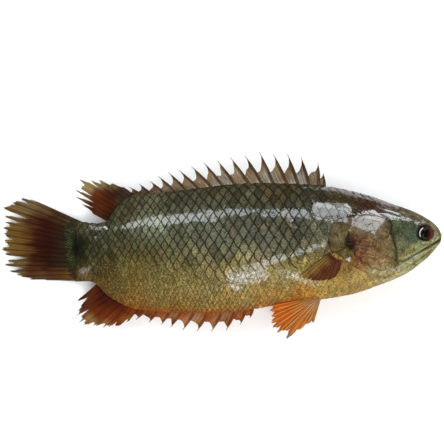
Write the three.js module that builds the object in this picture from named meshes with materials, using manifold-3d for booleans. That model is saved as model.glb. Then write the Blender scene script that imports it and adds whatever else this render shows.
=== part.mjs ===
// A climbing perch, whole, lying on its left side: body, gill covers, eyes and fins.
// Millimetres, +Z up. The head points to +X, the back to +Y, and the right flank faces up.
// Along the fish, "at" is the share of the body's length behind the snout, from 0 at the snout to 1 at the tail root.
// Across it, a height is a share of the body's depth above the line that the fish is drawn on.

import * as THREE from "three";
import { mergeVertices } from "three/addons/utils/BufferGeometryUtils.js";
import Module from "manifold-3d";

const wasm = await Module();
wasm.setup();

// Body
const BODY_LENGTH = 150; // snout tip to tail root
const BODY_DEPTH = 52.4; // highest point of the back to lowest point of the belly
const BODY_WIDTH = 26.8; // flank to flank
const FLANK_PRESS = 0.4; // how far the flank flattens on the table
const TAIL_LIFT = 0.56; // how far the tail root clears the table, more than the flank does
const FLANK_POWER = 2.3; // 2 would make the trunk's cross-sections ellipses; more makes them fuller
const TAIL_POWER = 1.9; // the same at the tail root
const RINGS = 52;
const SIDES = 22;

// What keeps the pieces apart
const FIN_GAP = 0.3;
const EYE_GAP = 0.3;
const COVER_GAP = 0.3;

// Gill covers
const COVER_THICKNESS = 1.0;
const COVER_STANDS_PROUD = 0.5;

// Eyes and mouth
const EYE_DIAMETER = 6.4;
const EYE_THICKNESS = 4.4;
const EYE_BULGE = 1.0; // how far the eyeball stands out of the head
const MOUTH_SLIT = 0.8;
const MOUTH_DEPTH = 1.2;

// Hollow in each flank that the pectoral fin folds into
const HOLLOW_DEPTH = 1.4;
const HOLLOW_LENGTH = 10;
const HOLLOW_HEIGHT = 7;

// Fins
const SPINE_THICKNESS = 1.3;
const RAY_THICKNESS = 0.9;
const WEB_THICKNESS = 0.6;
const EDGE_THICKNESS = 0.45;
const WEB_BESIDE_SPINE = 0.7; // distance from a spine's crest to the web
const DORSAL_SPINE_RISE = 12.8; // the tallest spine's height above the back
const DORSAL_RAYS = 9;
const DORSAL_RAY_LENGTH = 18.4;
const ANAL_SPINE_RISE = 8;
const ANAL_RAYS = 9;
const ANAL_RAY_LENGTH = 17;
const TAIL_RAYS = 17;
const TAIL_LENGTH = 30;
const TAIL_ROOT_THICKNESS = 3;
const TAIL_TIP_HEIGHT = 0.5; // the tail fin's middle above the table, at its end
const PECTORAL_RAYS = 12;
const PECTORAL_LENGTH = 15.6;
const PECTORAL_ROOT = 4.5; // length of the line that its rays spring from
const PELVIC_LENGTH = 20.5;
const PELVIC_SPINE_LENGTH = 10;
const PELVIC_SPACING = 5.4; // between the two fins' roots
const PELVIC_SPLAY = 2; // how far each fin's tip leans away from its neighbour

// Outlines, each a list of [at, height or width], as shares in hundredths.
const BACK = [
  [0, 7.4], [0.4, 12.4], [1.1, 15.5], [2.4, 19.1], [4, 22.1], [7.3, 27.1], [12.2, 32.4], [18.7, 38.4],
  [25.3, 43.3], [31.8, 46.9], [41.6, 48.7], [51, 49], [60.4, 47.3], [72.9, 42.9], [79.1, 41], [84.5, 39.7],
  [86.6, 36], [88.6, 29.8], [89.9, 24.8], [91.1, 20.4], [92.6, 18.4], [95.9, 18.5], [100, 21],
];
const BELLY = [
  [0, 7.4], [0.4, 3.6], [1.1, 0.2], [2.4, -4.2], [4, -9], [5.7, -12.8], [8.9, -19.7], [12.2, -24.4],
  [18.7, -31.5], [25.3, -37], [31.8, -40.1], [38.6, -42.2], [44.8, -44.7], [51.7, -48.3], [59.8, -50.8],
  [68.2, -51], [76.9, -50.2], [81.9, -49.2], [84.4, -47.7], [88.7, -42], [91.3, -37.4], [92.9, -32.4],
  [94.2, -28.6], [95.6, -27.2], [97.4, -27], [100, -27.5],
];
const HALF_WIDTH = [
  [0, 0], [0.4, 6], [1.1, 9.7], [2.4, 14.5], [4, 18.7], [7.3, 25.7], [12.2, 34.3], [18.7, 42.5], [25.3, 47],
  [33, 49.3], [42, 50], [50, 49], [60, 46], [70, 40.5], [80, 32], [88, 23.5], [94, 16.5], [100, 7.6],
];
const GILL_COVER = [
  [14.3, 19], [17.9, 24.6], [23.3, 25.4], [28.8, 22.1], [30.5, 16.8], [31.4, 9], [31.5, 3.4], [30.5, -3.8],
  [28.8, -5.5], [26.5, -10.5], [24.1, -15.3], [22.3, -18.3], [18.5, -22.1], [14.9, -23.3], [13, -19.1],
  [12.5, -10.9], [13, 1.1], [14.1, 10.7],
];
const MOUTH = [[-1, 5.4], [0.3, 4.2], [3.2, -1], [6.5, -5.7], [10.5, -12]];
const EYE_AT = 0.045;
const EYE_HEIGHT = 0.105;
const WIDEST_AT = 0.42;
const HOLLOW_AT = 0.325;
const HOLLOW_LEVEL = -0.16;

// Spines, each [root's at in hundredths, lean towards the tail, rise], the last two as shares of the tallest rise.
const DORSAL_SPINES = [
  [32.1, 0.02, 0.34], [33.6, 0.02, 0.66], [36, 0.27, 0.85], [39, 0.34, 0.93], [41.9, 0.46, 0.95], [45.6, 0.46, 1],
  [48.6, 0.56, 0.89], [52.2, 0.62, 0.84], [55.9, 0.58, 0.75], [59.2, 0.64, 0.71], [62.2, 0.67, 0.61],
  [65.7, 0.67, 0.56], [69, 0.6, 0.53], [72, 0.58, 0.45], [75, 0.48, 0.35], [78, 0.42, 0.32], [80.6, 0.4, 0.23],
];
const ANAL_SPINES = [
  [51.7, 0.14, 0.44], [53.4, 0.36, 0.7], [56, 0.54, 0.93], [59.6, 0.63, 0.97], [63.3, 0.68, 1], [67.1, 0.68, 0.92],
  [70.6, 0.64, 0.8], [73.8, 0.54, 0.69], [77, 0.52, 0.65], [80.2, 0.56, 0.53],
];

// ---- shapes -------------------------------------------------------------------------------------------------

// A line through the points of an outline, as a function of "at". It is drawn over the square root of the
// distance, which rounds the snout.
function smoothLine(outline) {
  const points = outline.map(([at, value]) => new THREE.Vector3(Math.sqrt(at / 100), value / 100, 0));
  const curve = new THREE.CatmullRomCurve3(points, false, "centripetal");
  return (at) => {
    const wanted = Math.sqrt(THREE.MathUtils.clamp(at, 0, 1));
    let low = 0;
    let high = 1;
    for (let step = 0; step < 24; step++) {
      const middle = (low + high) / 2;
      if (curve.getPoint(middle).x < wanted) low = middle;
      else high = middle;
    }
    return curve.getPoint((low + high) / 2).y;
  };
}

const backShare = smoothLine(BACK);
const bellyShare = smoothLine(BELLY);
const widthShare = smoothLine(HALF_WIDTH);
const back = (at) => backShare(at) * BODY_DEPTH;
const belly = (at) => bellyShare(at) * BODY_DEPTH;
const halfWidth = (at) => widthShare(at) * BODY_WIDTH;
const xAt = (at) => -at * BODY_LENGTH;
const atOf = (x) => -x / BODY_LENGTH;

// Height of the fish's middle plane above the table: level at the head, then sinking as the tail gets thinner.
function middle(at) {
  const widest = halfWidth(Math.max(at, WIDEST_AT));
  return widest - FLANK_PRESS + TAIL_LIFT * THREE.MathUtils.smoothstep(at, 0.7, 1);
}

// How far the flank stands out from the middle plane at x, y, with the skin moved outwards by grow.
function flank(x, y, grow = 0) {
  const at = atOf(x);
  const centre = (back(at) + belly(at)) / 2;
  const reach = (back(at) - belly(at)) / 2 + grow;
  const level = Math.min(1, Math.abs(y - centre) / reach);
  const power = THREE.MathUtils.lerp(FLANK_POWER, TAIL_POWER, THREE.MathUtils.smoothstep(at, 0.4, 0.95));
  const across = (x - xAt(HOLLOW_AT)) / HOLLOW_LENGTH;
  const down = (y - HOLLOW_LEVEL * BODY_DEPTH) / HOLLOW_HEIGHT;
  const hollow = HOLLOW_DEPTH * Math.exp(-across * across - down * down);
  return Math.max(0, (halfWidth(at) + grow) * Math.sqrt(1 - level ** power) - hollow);
}

// A point on the line of the back or of the belly, moved outwards by gap, with the direction towards the tail.
function ridgePoint(line, at, gap) {
  const step = 0.004;
  const ahead = new THREE.Vector2(xAt(at - step), line(at - step));
  const behind = new THREE.Vector2(xAt(at + step), line(at + step));
  const tailwards = behind.sub(ahead).normalize();
  const outwards = new THREE.Vector2(tailwards.y, -tailwards.x);
  if (outwards.y * line(at) < 0) outwards.negate();
  const point = new THREE.Vector2(xAt(at), line(at)).addScaledVector(outwards, gap);
  return { point, tailwards };
}

// A closed geometry with only positions, its shared corners merged and its faces pointing out.
function closedGeometry(geometry) {
  geometry.deleteAttribute("normal");
  geometry.deleteAttribute("uv");
  const merged = mergeVertices(geometry, 1e-4);
  const corners = merged.index.array;
  const [a, b, c] = [new THREE.Vector3(), new THREE.Vector3(), new THREE.Vector3()];
  let volume = 0;
  for (let i = 0; i < corners.length; i += 3) {
    [a, b, c].forEach((corner, k) => corner.fromBufferAttribute(merged.attributes.position, corners[i + k]));
    volume += a.dot(b.cross(c)) / 6;
  }
  if (volume < 0) {
    for (let i = 0; i < corners.length; i += 3) [corners[i], corners[i + 1]] = [corners[i + 1], corners[i]];
  }
  return merged;
}

function solid(geometry) {
  const closed = closedGeometry(geometry);
  return new wasm.Manifold(
    new wasm.Mesh({
      numProp: 3,
      vertProperties: closed.attributes.position.array,
      triVerts: new Uint32Array(closed.index.array),
    }),
  );
}

function geometryOf(made) {
  const { vertProperties, triVerts } = made.getMesh();
  const geometry = new THREE.BufferGeometry();
  geometry.setAttribute("position", new THREE.BufferAttribute(vertProperties, 3));
  geometry.setIndex(new THREE.BufferAttribute(triVerts, 1));
  geometry.computeVertexNormals();
  return geometry;
}

// ---- body ---------------------------------------------------------------------------------------------------

// Head and trunk as one skin, moved outwards by grow: a sphere whose rings become the cross-sections. The rings
// crowd together towards the snout, the last one closes flat at the tail root, and the skin flattens on the table.
function bodySkin(grow) {
  const geometry = new THREE.SphereGeometry(1, SIDES, RINGS);
  const position = geometry.attributes.position;
  const snoutCrowding = 0.06;
  for (let i = 0; i < position.count; i++) {
    const { x, y, z } = new THREE.Vector3().fromBufferAttribute(position, i);
    const ring = Math.round((Math.acos(THREE.MathUtils.clamp(y, -1, 1)) / Math.PI) * RINGS);
    const share = Math.min(1, ring / (RINGS - 1));
    const at = (share * share * (1 + snoutCrowding)) / (share + snoutCrowding);
    const centre = (back(at) + belly(at)) / 2;
    if (ring === 0 || ring === RINGS) {
      position.setXYZ(i, xAt(at) + (ring === 0 ? grow : 0), centre, middle(at));
      continue;
    }
    const reach = (back(at) - belly(at)) / 2 + grow;
    const height = centre + (reach * x) / Math.hypot(x, z);
    const stand = Math.abs(z) < 1e-6 ? 0 : Math.sign(z) * flank(xAt(at), height, grow);
    position.setXYZ(i, xAt(at), height, Math.max(0, middle(at) + stand));
  }
  return solid(geometry);
}

// A closed outline drawn on the head's side and moved outwards by grow, pushed through one flank.
function throughFlank(outline, grow, side) {
  const curve = new THREE.CatmullRomCurve3(
    outline.map(([at, height]) => new THREE.Vector3(xAt(at / 100), (height / 100) * BODY_DEPTH, 0)),
    true,
    "centripetal",
  );
  const count = outline.length * 2;
  const points = Array.from({ length: count }, (_, i) => {
    const tangent = curve.getTangent(i / count);
    const point = curve.getPoint(i / count);
    return new THREE.Vector2(point.x + tangent.y * grow, point.y - tangent.x * grow);
  });
  const depth = BODY_WIDTH;
  const prism = new THREE.ExtrudeGeometry(new THREE.Shape(points), { depth, bevelEnabled: false });
  prism.translate(0, 0, middle(0) + (side > 0 ? 0 : -depth));
  return solid(prism);
}

// A gill cover: the part of the skin inside its outline, as a plate that stands a little proud.
function gillCover(side) {
  const plate = bodySkin(COVER_STANDS_PROUD).subtract(bodySkin(COVER_STANDS_PROUD - COVER_THICKNESS));
  return plate.intersect(throughFlank(GILL_COVER, 0, side));
}

// The gill chamber that the cover closes, a little larger all round than the cover.
function gillChamber(side) {
  const floor = bodySkin(COVER_STANDS_PROUD - COVER_THICKNESS - COVER_GAP);
  return throughFlank(GILL_COVER, COVER_GAP, side).subtract(floor);
}

function eyeball(diameter, thickness) {
  const geometry = new THREE.SphereGeometry(0.5, 16, 10);
  geometry.rotateX(Math.PI / 2);
  geometry.scale(diameter, diameter, thickness);
  return geometry;
}

function eyeCentre(side) {
  const x = xAt(EYE_AT);
  const y = EYE_HEIGHT * BODY_DEPTH;
  return new THREE.Vector3(x, y, middle(EYE_AT) + side * (flank(x, y) + EYE_BULGE - EYE_THICKNESS / 2));
}

function eyeSocket(side) {
  const centre = eyeCentre(side);
  const socket = eyeball(EYE_DIAMETER + 2 * EYE_GAP, EYE_THICKNESS + 2 * EYE_GAP);
  return solid(socket.translate(centre.x, centre.y, centre.z));
}

// The slit between the jaws, cut to one depth all round the snout.
function mouthSlit() {
  const line = MOUTH.map(([at, height]) => new THREE.Vector2(xAt(at / 100), (height / 100) * BODY_DEPTH));
  const across = new THREE.Vector2(0, MOUTH_SLIT / 2);
  const strip = [...line.map((p) => p.clone().sub(across)), ...line.map((p) => p.clone().add(across)).reverse()];
  const prism = new THREE.ExtrudeGeometry(new THREE.Shape(strip), { depth: BODY_WIDTH, bevelEnabled: false });
  prism.translate(0, 0, middle(0) - BODY_WIDTH / 2);
  return solid(prism).subtract(bodySkin(-MOUTH_DEPTH));
}

function body() {
  let made = bodySkin(0).subtract(mouthSlit());
  for (const side of [1, -1]) made = made.subtract(gillChamber(side)).subtract(eyeSocket(side));
  return made;
}

// ---- fins ---------------------------------------------------------------------------------------------------

// A fin is one closed sheet through a row of columns. Each column runs straight from its root to its tip, both
// [x, y, z], and has half a thickness at each end.
function finSheet(columns, rows) {
  const geometry = new THREE.BoxGeometry(1, 1, 1, columns.length - 1, rows, 1);
  const position = geometry.attributes.position;
  for (let i = 0; i < position.count; i++) {
    const column = columns[Math.round((position.getX(i) + 0.5) * (columns.length - 1))];
    const out = position.getY(i) + 0.5;
    const side = Math.sign(position.getZ(i));
    const point = column.root.clone().lerp(column.tip, out);
    const half = THREE.MathUtils.lerp(column.rootHalf, column.tipHalf, out);
    position.setXYZ(i, point.x, point.y, point.z + side * half);
  }
  return closedGeometry(geometry);
}

// A column in the middle plane of the fish.
function column(root, tip, rootThickness, tipThickness) {
  const onPlane = ({ x, y }) => new THREE.Vector3(x, y, middle(Math.min(1, atOf(x))));
  return { root: onPlane(root), tip: onPlane(tip), rootHalf: rootThickness / 2, tipHalf: tipThickness / 2 };
}

const spineColumn = (root, tip) => column(root, tip, SPINE_THICKNESS, EDGE_THICKNESS);
const rayColumn = (root, tip) => column(root, tip, RAY_THICKNESS, EDGE_THICKNESS);
const webColumn = (root, tip) => column(root, tip, WEB_THICKNESS, EDGE_THICKNESS);

// Spines with web between them. Behind each spine the web starts high and falls to the foot of the next.
function spinyColumns({ line, list, tallest, out }) {
  const webStart = 0.8;
  const webEnd = 0.42;
  const spines = list.map(([at, lean, rise]) => {
    const { point, tailwards } = ridgePoint(line, at / 100, FIN_GAP);
    const reach = new THREE.Vector2(-lean, rise * out).multiplyScalar(tallest);
    return { point, tailwards, reach };
  });
  return spines.flatMap(({ point, tailwards, reach }, i) => {
    const beside = tailwards.clone().multiplyScalar(WEB_BESIDE_SPINE);
    const front = point.clone().sub(beside);
    const behind = point.clone().add(beside);
    const columns = [
      webColumn(front, front.clone().addScaledVector(reach, webEnd)),
      spineColumn(point, point.clone().add(reach)),
      webColumn(behind, behind.clone().addScaledVector(reach, webStart)),
    ];
    const next = spines[i + 1];
    if (next) {
      const root = behind.clone().add(next.point).multiplyScalar(0.5);
      const slack = 0.52;
      const web = reach.clone().multiplyScalar(webStart).add(next.reach.clone().multiplyScalar(webEnd));
      columns.push(webColumn(root, root.clone().addScaledVector(web, slack)));
    }
    return columns;
  });
}

// Soft rays along the back or the belly, with a shallow notch in the web between each two.
function softColumns({ line, from, to, count, length, angle, out }) {
  const notch = 0.93;
  const last = 2 * (count - 1);
  return Array.from({ length: last + 1 }, (_, i) => {
    const share = i / last;
    const { point } = ridgePoint(line, THREE.MathUtils.lerp(from, to, share), FIN_GAP);
    const isRay = i % 2 === 0;
    const reach = length(share) * (isRay ? 1 : notch);
    const turn = angle(share);
    const tip = point.clone().add(new THREE.Vector2(-Math.cos(turn), out * Math.sin(turn)).multiplyScalar(reach));
    return isRay ? rayColumn(point, tip) : webColumn(point, tip);
  });
}

const degrees = THREE.MathUtils.degToRad;
const hump = (share) => Math.sin(Math.PI * share);

function dorsalFin() {
  const spiny = spinyColumns({ line: back, list: DORSAL_SPINES, tallest: DORSAL_SPINE_RISE, out: 1 });
  const length = (share) => DORSAL_RAY_LENGTH * (0.52 + 0.48 * hump(share));
  const angle = (share) => degrees(22 + 12 * share ** 3);
  const soft = softColumns({ line: back, from: 0.827, to: 0.906, count: DORSAL_RAYS, length, angle, out: 1 });
  return finSheet([...spiny, ...soft], 3);
}

function analFin() {
  const spiny = spinyColumns({ line: belly, list: ANAL_SPINES, tallest: ANAL_SPINE_RISE, out: -1 });
  const length = (share) => ANAL_RAY_LENGTH * (0.6 + 0.4 * hump(share));
  const angle = (share) => degrees(48 - 16 * Math.min(1, 1.7 * share));
  const soft = softColumns({ line: belly, from: 0.825, to: 0.932, count: ANAL_RAYS, length, angle, out: -1 });
  return finSheet([...spiny, ...soft], 3);
}

// The tail fin fans out from the end of the body and sinks to the table.
function tailFin() {
  const x = xAt(1) - FIN_GAP;
  const rootTop = back(1) - FIN_GAP;
  const rootBottom = belly(1) + FIN_GAP;
  const spread = [8.5, 1]; // how far the top and bottom rays' tips stand beyond their roots
  const last = 2 * (TAIL_RAYS - 1);
  const columns = Array.from({ length: last + 1 }, (_, i) => {
    const share = i / last;
    const isRay = i % 2 === 0;
    const shortening = 9 * Math.abs(2 * share - 1) ** 3.5 + (isRay ? 0 : 1.2);
    const root = new THREE.Vector3(x, THREE.MathUtils.lerp(rootTop, rootBottom, share), middle(1));
    const tipY = THREE.MathUtils.lerp(rootTop + spread[0], rootBottom + spread[1], share);
    const tip = new THREE.Vector3(x - TAIL_LENGTH + shortening, tipY, TAIL_TIP_HEIGHT);
    return { root, tip, rootHalf: TAIL_ROOT_THICKNESS / 2, tipHalf: EDGE_THICKNESS / 2 };
  });
  return finSheet(columns, 5);
}

// A pectoral fin lies folded back and down against its flank, just clear of the skin.
function pectoralFin(side) {
  const foot = { at: 0.307, height: -0.064 };
  const rows = 5;
  const last = 2 * (PECTORAL_RAYS - 1);
  const columns = Array.from({ length: last + 1 }, (_, i) => {
    const share = i / last;
    const turn = degrees(THREE.MathUtils.lerp(37, 64, share));
    const length = THREE.MathUtils.lerp(PECTORAL_LENGTH, PECTORAL_LENGTH * 0.55, share) * (i % 2 === 0 ? 1 : 0.94);
    const along = degrees(-39);
    const root = new THREE.Vector2(xAt(foot.at), foot.height * BODY_DEPTH);
    root.add(new THREE.Vector2(Math.cos(along), Math.sin(along)).multiplyScalar(PECTORAL_ROOT * share));
    const tip = root.clone().add(new THREE.Vector2(-Math.cos(turn), -Math.sin(turn)).multiplyScalar(length));
    return { root, tip, half: (i % 2 === 0 ? RAY_THICKNESS : WEB_THICKNESS) / 2 };
  });
  const geometry = new THREE.BoxGeometry(1, 1, 1, last, rows, 1);
  const position = geometry.attributes.position;
  for (let i = 0; i < position.count; i++) {
    const { root, tip, half } = columns[Math.round((position.getX(i) + 0.5) * last)];
    const point = root.clone().lerp(tip, position.getY(i) + 0.5);
    const inner = flank(point.x, point.y) + FIN_GAP;
    const stand = position.getZ(i) > 0 ? inner + 2 * half : inner;
    position.setXYZ(i, point.x, point.y, Math.max(0, middle(atOf(point.x)) + side * stand));
  }
  return closedGeometry(geometry);
}

// A pelvic fin hangs below the belly: one short spine in front and five rays that fan out behind it.
function pelvicFin(side) {
  const at = 0.334;
  const fan = [
    [11, PELVIC_SPINE_LENGTH], [26, 0.57 * PELVIC_LENGTH], [37, PELVIC_LENGTH], [43, 0.78 * PELVIC_LENGTH],
    [50, 1.05 * PELVIC_LENGTH], [54, 0.98 * PELVIC_LENGTH], [58, 1.06 * PELVIC_LENGTH],
    [62, 0.96 * PELVIC_LENGTH], [66, 1.0 * PELVIC_LENGTH], [71, 0.9 * PELVIC_LENGTH], [76, 0.93 * PELVIC_LENGTH],
  ];
  const rootZ = middle(at) + (side * PELVIC_SPACING) / 2;
  const columns = fan.map(([turn, length], i) => {
    const rootX = xAt(at) - (1.2 * i) / (fan.length - 1);
    const root = new THREE.Vector3(rootX, belly(atOf(rootX)) - FIN_GAP, rootZ);
    const reach = new THREE.Vector3(-Math.sin(degrees(turn)), -Math.cos(degrees(turn)), 0).multiplyScalar(length);
    reach.z = side * PELVIC_SPLAY;
    const rootHalf = (i === 0 ? SPINE_THICKNESS : RAY_THICKNESS) / 2;
    return { root, tip: root.clone().add(reach), rootHalf, tipHalf: EDGE_THICKNESS / 2 };
  });
  return finSheet(columns, 4);
}

// ---- the fish -----------------------------------------------------------------------------------------------

const skin = new THREE.MeshStandardMaterial({ color: 0x5c5f42, roughness: 0.35, metalness: 0 });
const cover = new THREE.MeshStandardMaterial({ color: 0x6b5638, roughness: 0.35, metalness: 0 });
const eye = new THREE.MeshStandardMaterial({ color: 0x1c0d08, roughness: 0.08, metalness: 0 });
const brownFin = new THREE.MeshStandardMaterial({ color: 0x6a4a34, roughness: 0.5, metalness: 0 });
const redFin = new THREE.MeshStandardMaterial({ color: 0x5a2a10, roughness: 0.5, metalness: 0 });
const orangeFin = new THREE.MeshStandardMaterial({ color: 0xc86a1e, roughness: 0.45, metalness: 0 });

function named(name, geometry, material) {
  const mesh = new THREE.Mesh(geometry, material);
  mesh.name = name;
  return mesh;
}

const fish = new THREE.Group();
fish.add(named("body", geometryOf(body()), skin));
fish.add(named("dorsal_fin", dorsalFin(), brownFin));
fish.add(named("anal_fin", analFin(), redFin));
fish.add(named("tail_fin", tailFin(), redFin));
for (const [word, side] of [["right", 1], ["left", -1]]) {
  fish.add(named(`gill_cover_${word}`, geometryOf(gillCover(side)), cover));
  fish.add(named(`pectoral_fin_${word}`, pectoralFin(side), redFin));
  fish.add(named(`pelvic_fin_${word}`, pelvicFin(side), orangeFin));
  const ball = named(`eye_${word}`, eyeball(EYE_DIAMETER, EYE_THICKNESS), eye);
  ball.position.copy(eyeCentre(side));
  fish.add(ball);
}

// The origin is on the table, under the middle of the fish's bounding box.
const box = new THREE.Box3().setFromObject(fish);
const centre = box.getCenter(new THREE.Vector3());
fish.position.set(-centre.x, -centre.y, -box.min.z);

const root = new THREE.Group();
root.add(fish);
export default root;
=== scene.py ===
# %% [markdown]
# # A climbing perch on a white table
#
# A climbing perch is a small, deep freshwater fish with a stiff coat of scales, a saw of spines along its back
# and orange fins under its throat. This one lies on its left side. The lesson builds it piece by piece: the
# skin, the scales, the gill covers, the eyes and the fins, then the lights and the camera.
#
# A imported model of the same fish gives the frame: how long it is, where its snout is and how high its middle
# lies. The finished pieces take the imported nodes' places.

import math

import bpy
import numpy as np
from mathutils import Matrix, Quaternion, Vector


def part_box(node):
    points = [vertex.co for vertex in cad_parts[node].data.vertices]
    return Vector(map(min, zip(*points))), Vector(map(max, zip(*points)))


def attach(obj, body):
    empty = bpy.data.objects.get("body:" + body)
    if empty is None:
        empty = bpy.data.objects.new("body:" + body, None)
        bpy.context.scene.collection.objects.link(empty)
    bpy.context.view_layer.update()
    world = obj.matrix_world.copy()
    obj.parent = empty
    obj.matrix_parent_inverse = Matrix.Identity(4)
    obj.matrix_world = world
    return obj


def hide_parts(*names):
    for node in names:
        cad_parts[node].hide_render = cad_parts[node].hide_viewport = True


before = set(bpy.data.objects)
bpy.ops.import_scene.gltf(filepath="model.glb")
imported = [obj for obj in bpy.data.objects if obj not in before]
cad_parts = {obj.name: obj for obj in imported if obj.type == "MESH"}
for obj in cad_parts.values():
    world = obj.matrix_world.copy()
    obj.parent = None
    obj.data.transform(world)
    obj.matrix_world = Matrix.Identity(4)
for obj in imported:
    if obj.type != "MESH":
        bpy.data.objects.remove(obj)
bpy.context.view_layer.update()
print("nodes", sorted(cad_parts))

# %% [markdown]
# Every length below is in millimetres, because that is how a fish is measured, and is turned into metres only
# when it reaches a mesh. A modelling operator acts on all that is selected, and the frame arrives selected, so
# the first helper lets go of everything. The others read and write the places of all of a mesh's corners at once.

# %% Small helpers
MM = 0.001
RESTING = 0.02  # mm between a fin and the table


def let_go():
    """Deselects everything."""
    bpy.ops.object.select_all(action="DESELECT")


def hold(piece):
    """Selects one piece alone, for the operators to act on."""
    let_go()
    piece.select_set(True)
    bpy.context.view_layer.objects.active = piece


def take(name):
    """Names the primitive that was just added, and gives it a mesh name to match."""
    piece = bpy.context.object
    piece.name = name
    piece.data.name = name
    return piece


def unit_ball(name, segments, rings):
    """A sphere of radius 1 to be shaped, and its corners' places."""
    let_go()
    bpy.ops.mesh.primitive_uv_sphere_add(segments=segments, ring_count=rings, radius=1, location=(0, 0, 0))
    piece = take(name)
    return piece, corners(piece)


def unit_grid(name, columns, rows):
    """A flat grid from -1 to 1 to be shaped, and its corners' places."""
    let_go()
    bpy.ops.mesh.primitive_grid_add(x_subdivisions=columns, y_subdivisions=rows, size=2, location=(0, 0, 0))
    piece = take(name)
    return piece, corners(piece)


def corners(piece):
    """The places of a piece's corners, in the units of its mesh."""
    spots = np.empty(len(piece.data.vertices) * 3)
    piece.data.vertices.foreach_get("co", spots)
    return spots.reshape(-1, 3)


def set_corners(piece, millimetres):
    """Puts a piece's corners at these places, given in millimetres."""
    piece.data.vertices.foreach_set("co", (np.asarray(millimetres) * MM).ravel())
    piece.data.update()


def keep_above_table(piece):
    """Lifts what dips into the table to just above it, and gives the corners' places in millimetres."""
    places = corners(piece) / MM
    places[:, 2] = np.maximum(places[:, 2], RESTING)
    set_corners(piece, places)
    return places


def piece_from(name, millimetres, faces):
    """A new piece from its corners' places and, for each face, the numbers of its corners."""
    mesh = bpy.data.meshes.new(name)
    mesh.from_pydata((millimetres * MM).tolist(), [], faces)
    piece = bpy.data.objects.new(name, mesh)
    bpy.context.collection.objects.link(piece)
    return piece


def face_outwards(piece):
    """Turns every face of a closed piece to point out of it."""
    hold(piece)
    bpy.ops.object.mode_set(mode="EDIT")
    bpy.ops.mesh.select_all(action="SELECT")
    bpy.ops.mesh.normals_make_consistent(inside=False)
    bpy.ops.object.mode_set(mode="OBJECT")


def smooth(piece, degrees):
    """Shades a piece smooth, apart from edges sharper than this."""
    hold(piece)
    bpy.ops.object.shade_smooth_by_angle(angle=math.radians(degrees))


def join(pieces, name):
    """Makes one piece of several."""
    let_go()
    for piece in pieces:
        piece.select_set(True)
    bpy.context.view_layer.objects.active = pieces[0]
    if len(pieces) > 1:
        bpy.ops.object.join()
    return take(name)


def thicken(piece, millimetres):
    """Gives a sheet its thickness, half to each side."""
    wall = piece.modifiers.new("wall", "SOLIDIFY")
    wall.thickness = millimetres * MM
    wall.offset = 0
    wall.use_rim = True
    bpy.context.view_layer.objects.active = piece
    bpy.ops.object.modifier_apply(modifier=wall.name)


def save_floats(piece, name, values):
    """Stores one number at each corner, for a material to read."""
    made = piece.data.attributes.new(name, "FLOAT", "POINT")
    made.data.foreach_set("value", np.asarray(values, dtype=float))


def save_colours(piece, name, values):
    """Stores one colour at each corner, for a material to read."""
    rgba = np.ones((len(values), 4))
    rgba[:, :3] = values
    made = piece.data.attributes.new(name, "FLOAT_COLOR", "POINT")
    made.data.foreach_set("color", rgba.ravel())


def step(low, high, value):
    """0 below low, 1 above high, and an S-curve between them."""
    t = np.clip((np.asarray(value, dtype=float) - low) / (high - low), 0, 1)
    return t * t * (3 - 2 * t)


def rest_on_table(z):
    """Presses heights below 0.3 mm flat, but keeps their order, so that the skin and its scales stay apart."""
    return np.where(z > 0.3, z, 0.3 * np.exp(np.minimum(z - 0.3, 0) / 0.3))


def bump(value, width):
    """1 at 0, falling off to both sides."""
    return np.exp(-((np.asarray(value) / width) ** 2))


print("helpers ready, one unit is", MM, "m")

# %% [markdown]
# A fish's shape is given by three lines: its back, its belly and its half width. Each is drawn through points
# given in hundredths of the body's length behind the snout, and in hundredths of the depth or the width. The
# lines are drawn over the square root of the distance, which rounds the snout.

# %% The fish's lines
BODY_LENGTH, BODY_DEPTH, BODY_WIDTH = 150.0, 52.4, 26.8
FLANK_PRESS = 0.4
TAIL_LIFT = 0.56
FLANK_POWER, TAIL_POWER = 2.3, 1.9

BACK = [
    (0, 7.4), (0.4, 12.4), (1.1, 15.5), (2.4, 19.1), (4, 22.1), (7.3, 27.1), (12.2, 32.4), (18.7, 38.4),
    (25.3, 43.3), (31.8, 46.9), (41.6, 48.7), (51, 49), (60.4, 47.3), (72.9, 42.9), (79.1, 41), (84.5, 39.7),
    (86.6, 36), (88.6, 29.8), (89.9, 24.8), (91.1, 20.4), (92.6, 18.4), (95.9, 18.5), (100, 21),
]
BELLY = [
    (0, 7.4), (0.4, 3.6), (1.1, 0.2), (2.4, -4.2), (4, -9), (5.7, -12.8), (8.9, -19.7), (12.2, -24.4),
    (18.7, -31.5), (25.3, -37), (31.8, -40.1), (38.6, -42.2), (44.8, -44.7), (51.7, -48.3), (59.8, -50.8),
    (68.2, -51), (76.9, -50.2), (81.9, -49.2), (84.4, -47.7), (88.7, -42), (91.3, -37.4), (92.9, -32.4),
    (94.2, -28.6), (95.6, -27.2), (97.4, -27), (100, -27.5),
]
HALF_WIDTH = [
    (0, 0), (0.4, 6), (1.1, 9.7), (2.4, 14.5), (4, 18.7), (7.3, 25.7), (12.2, 34.3), (18.7, 42.5), (25.3, 47),
    (33, 49.3), (42, 50), (50, 49), (60, 46), (70, 40.5), (80, 32), (88, 23.5), (94, 16.5), (100, 7.6),
]


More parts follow.
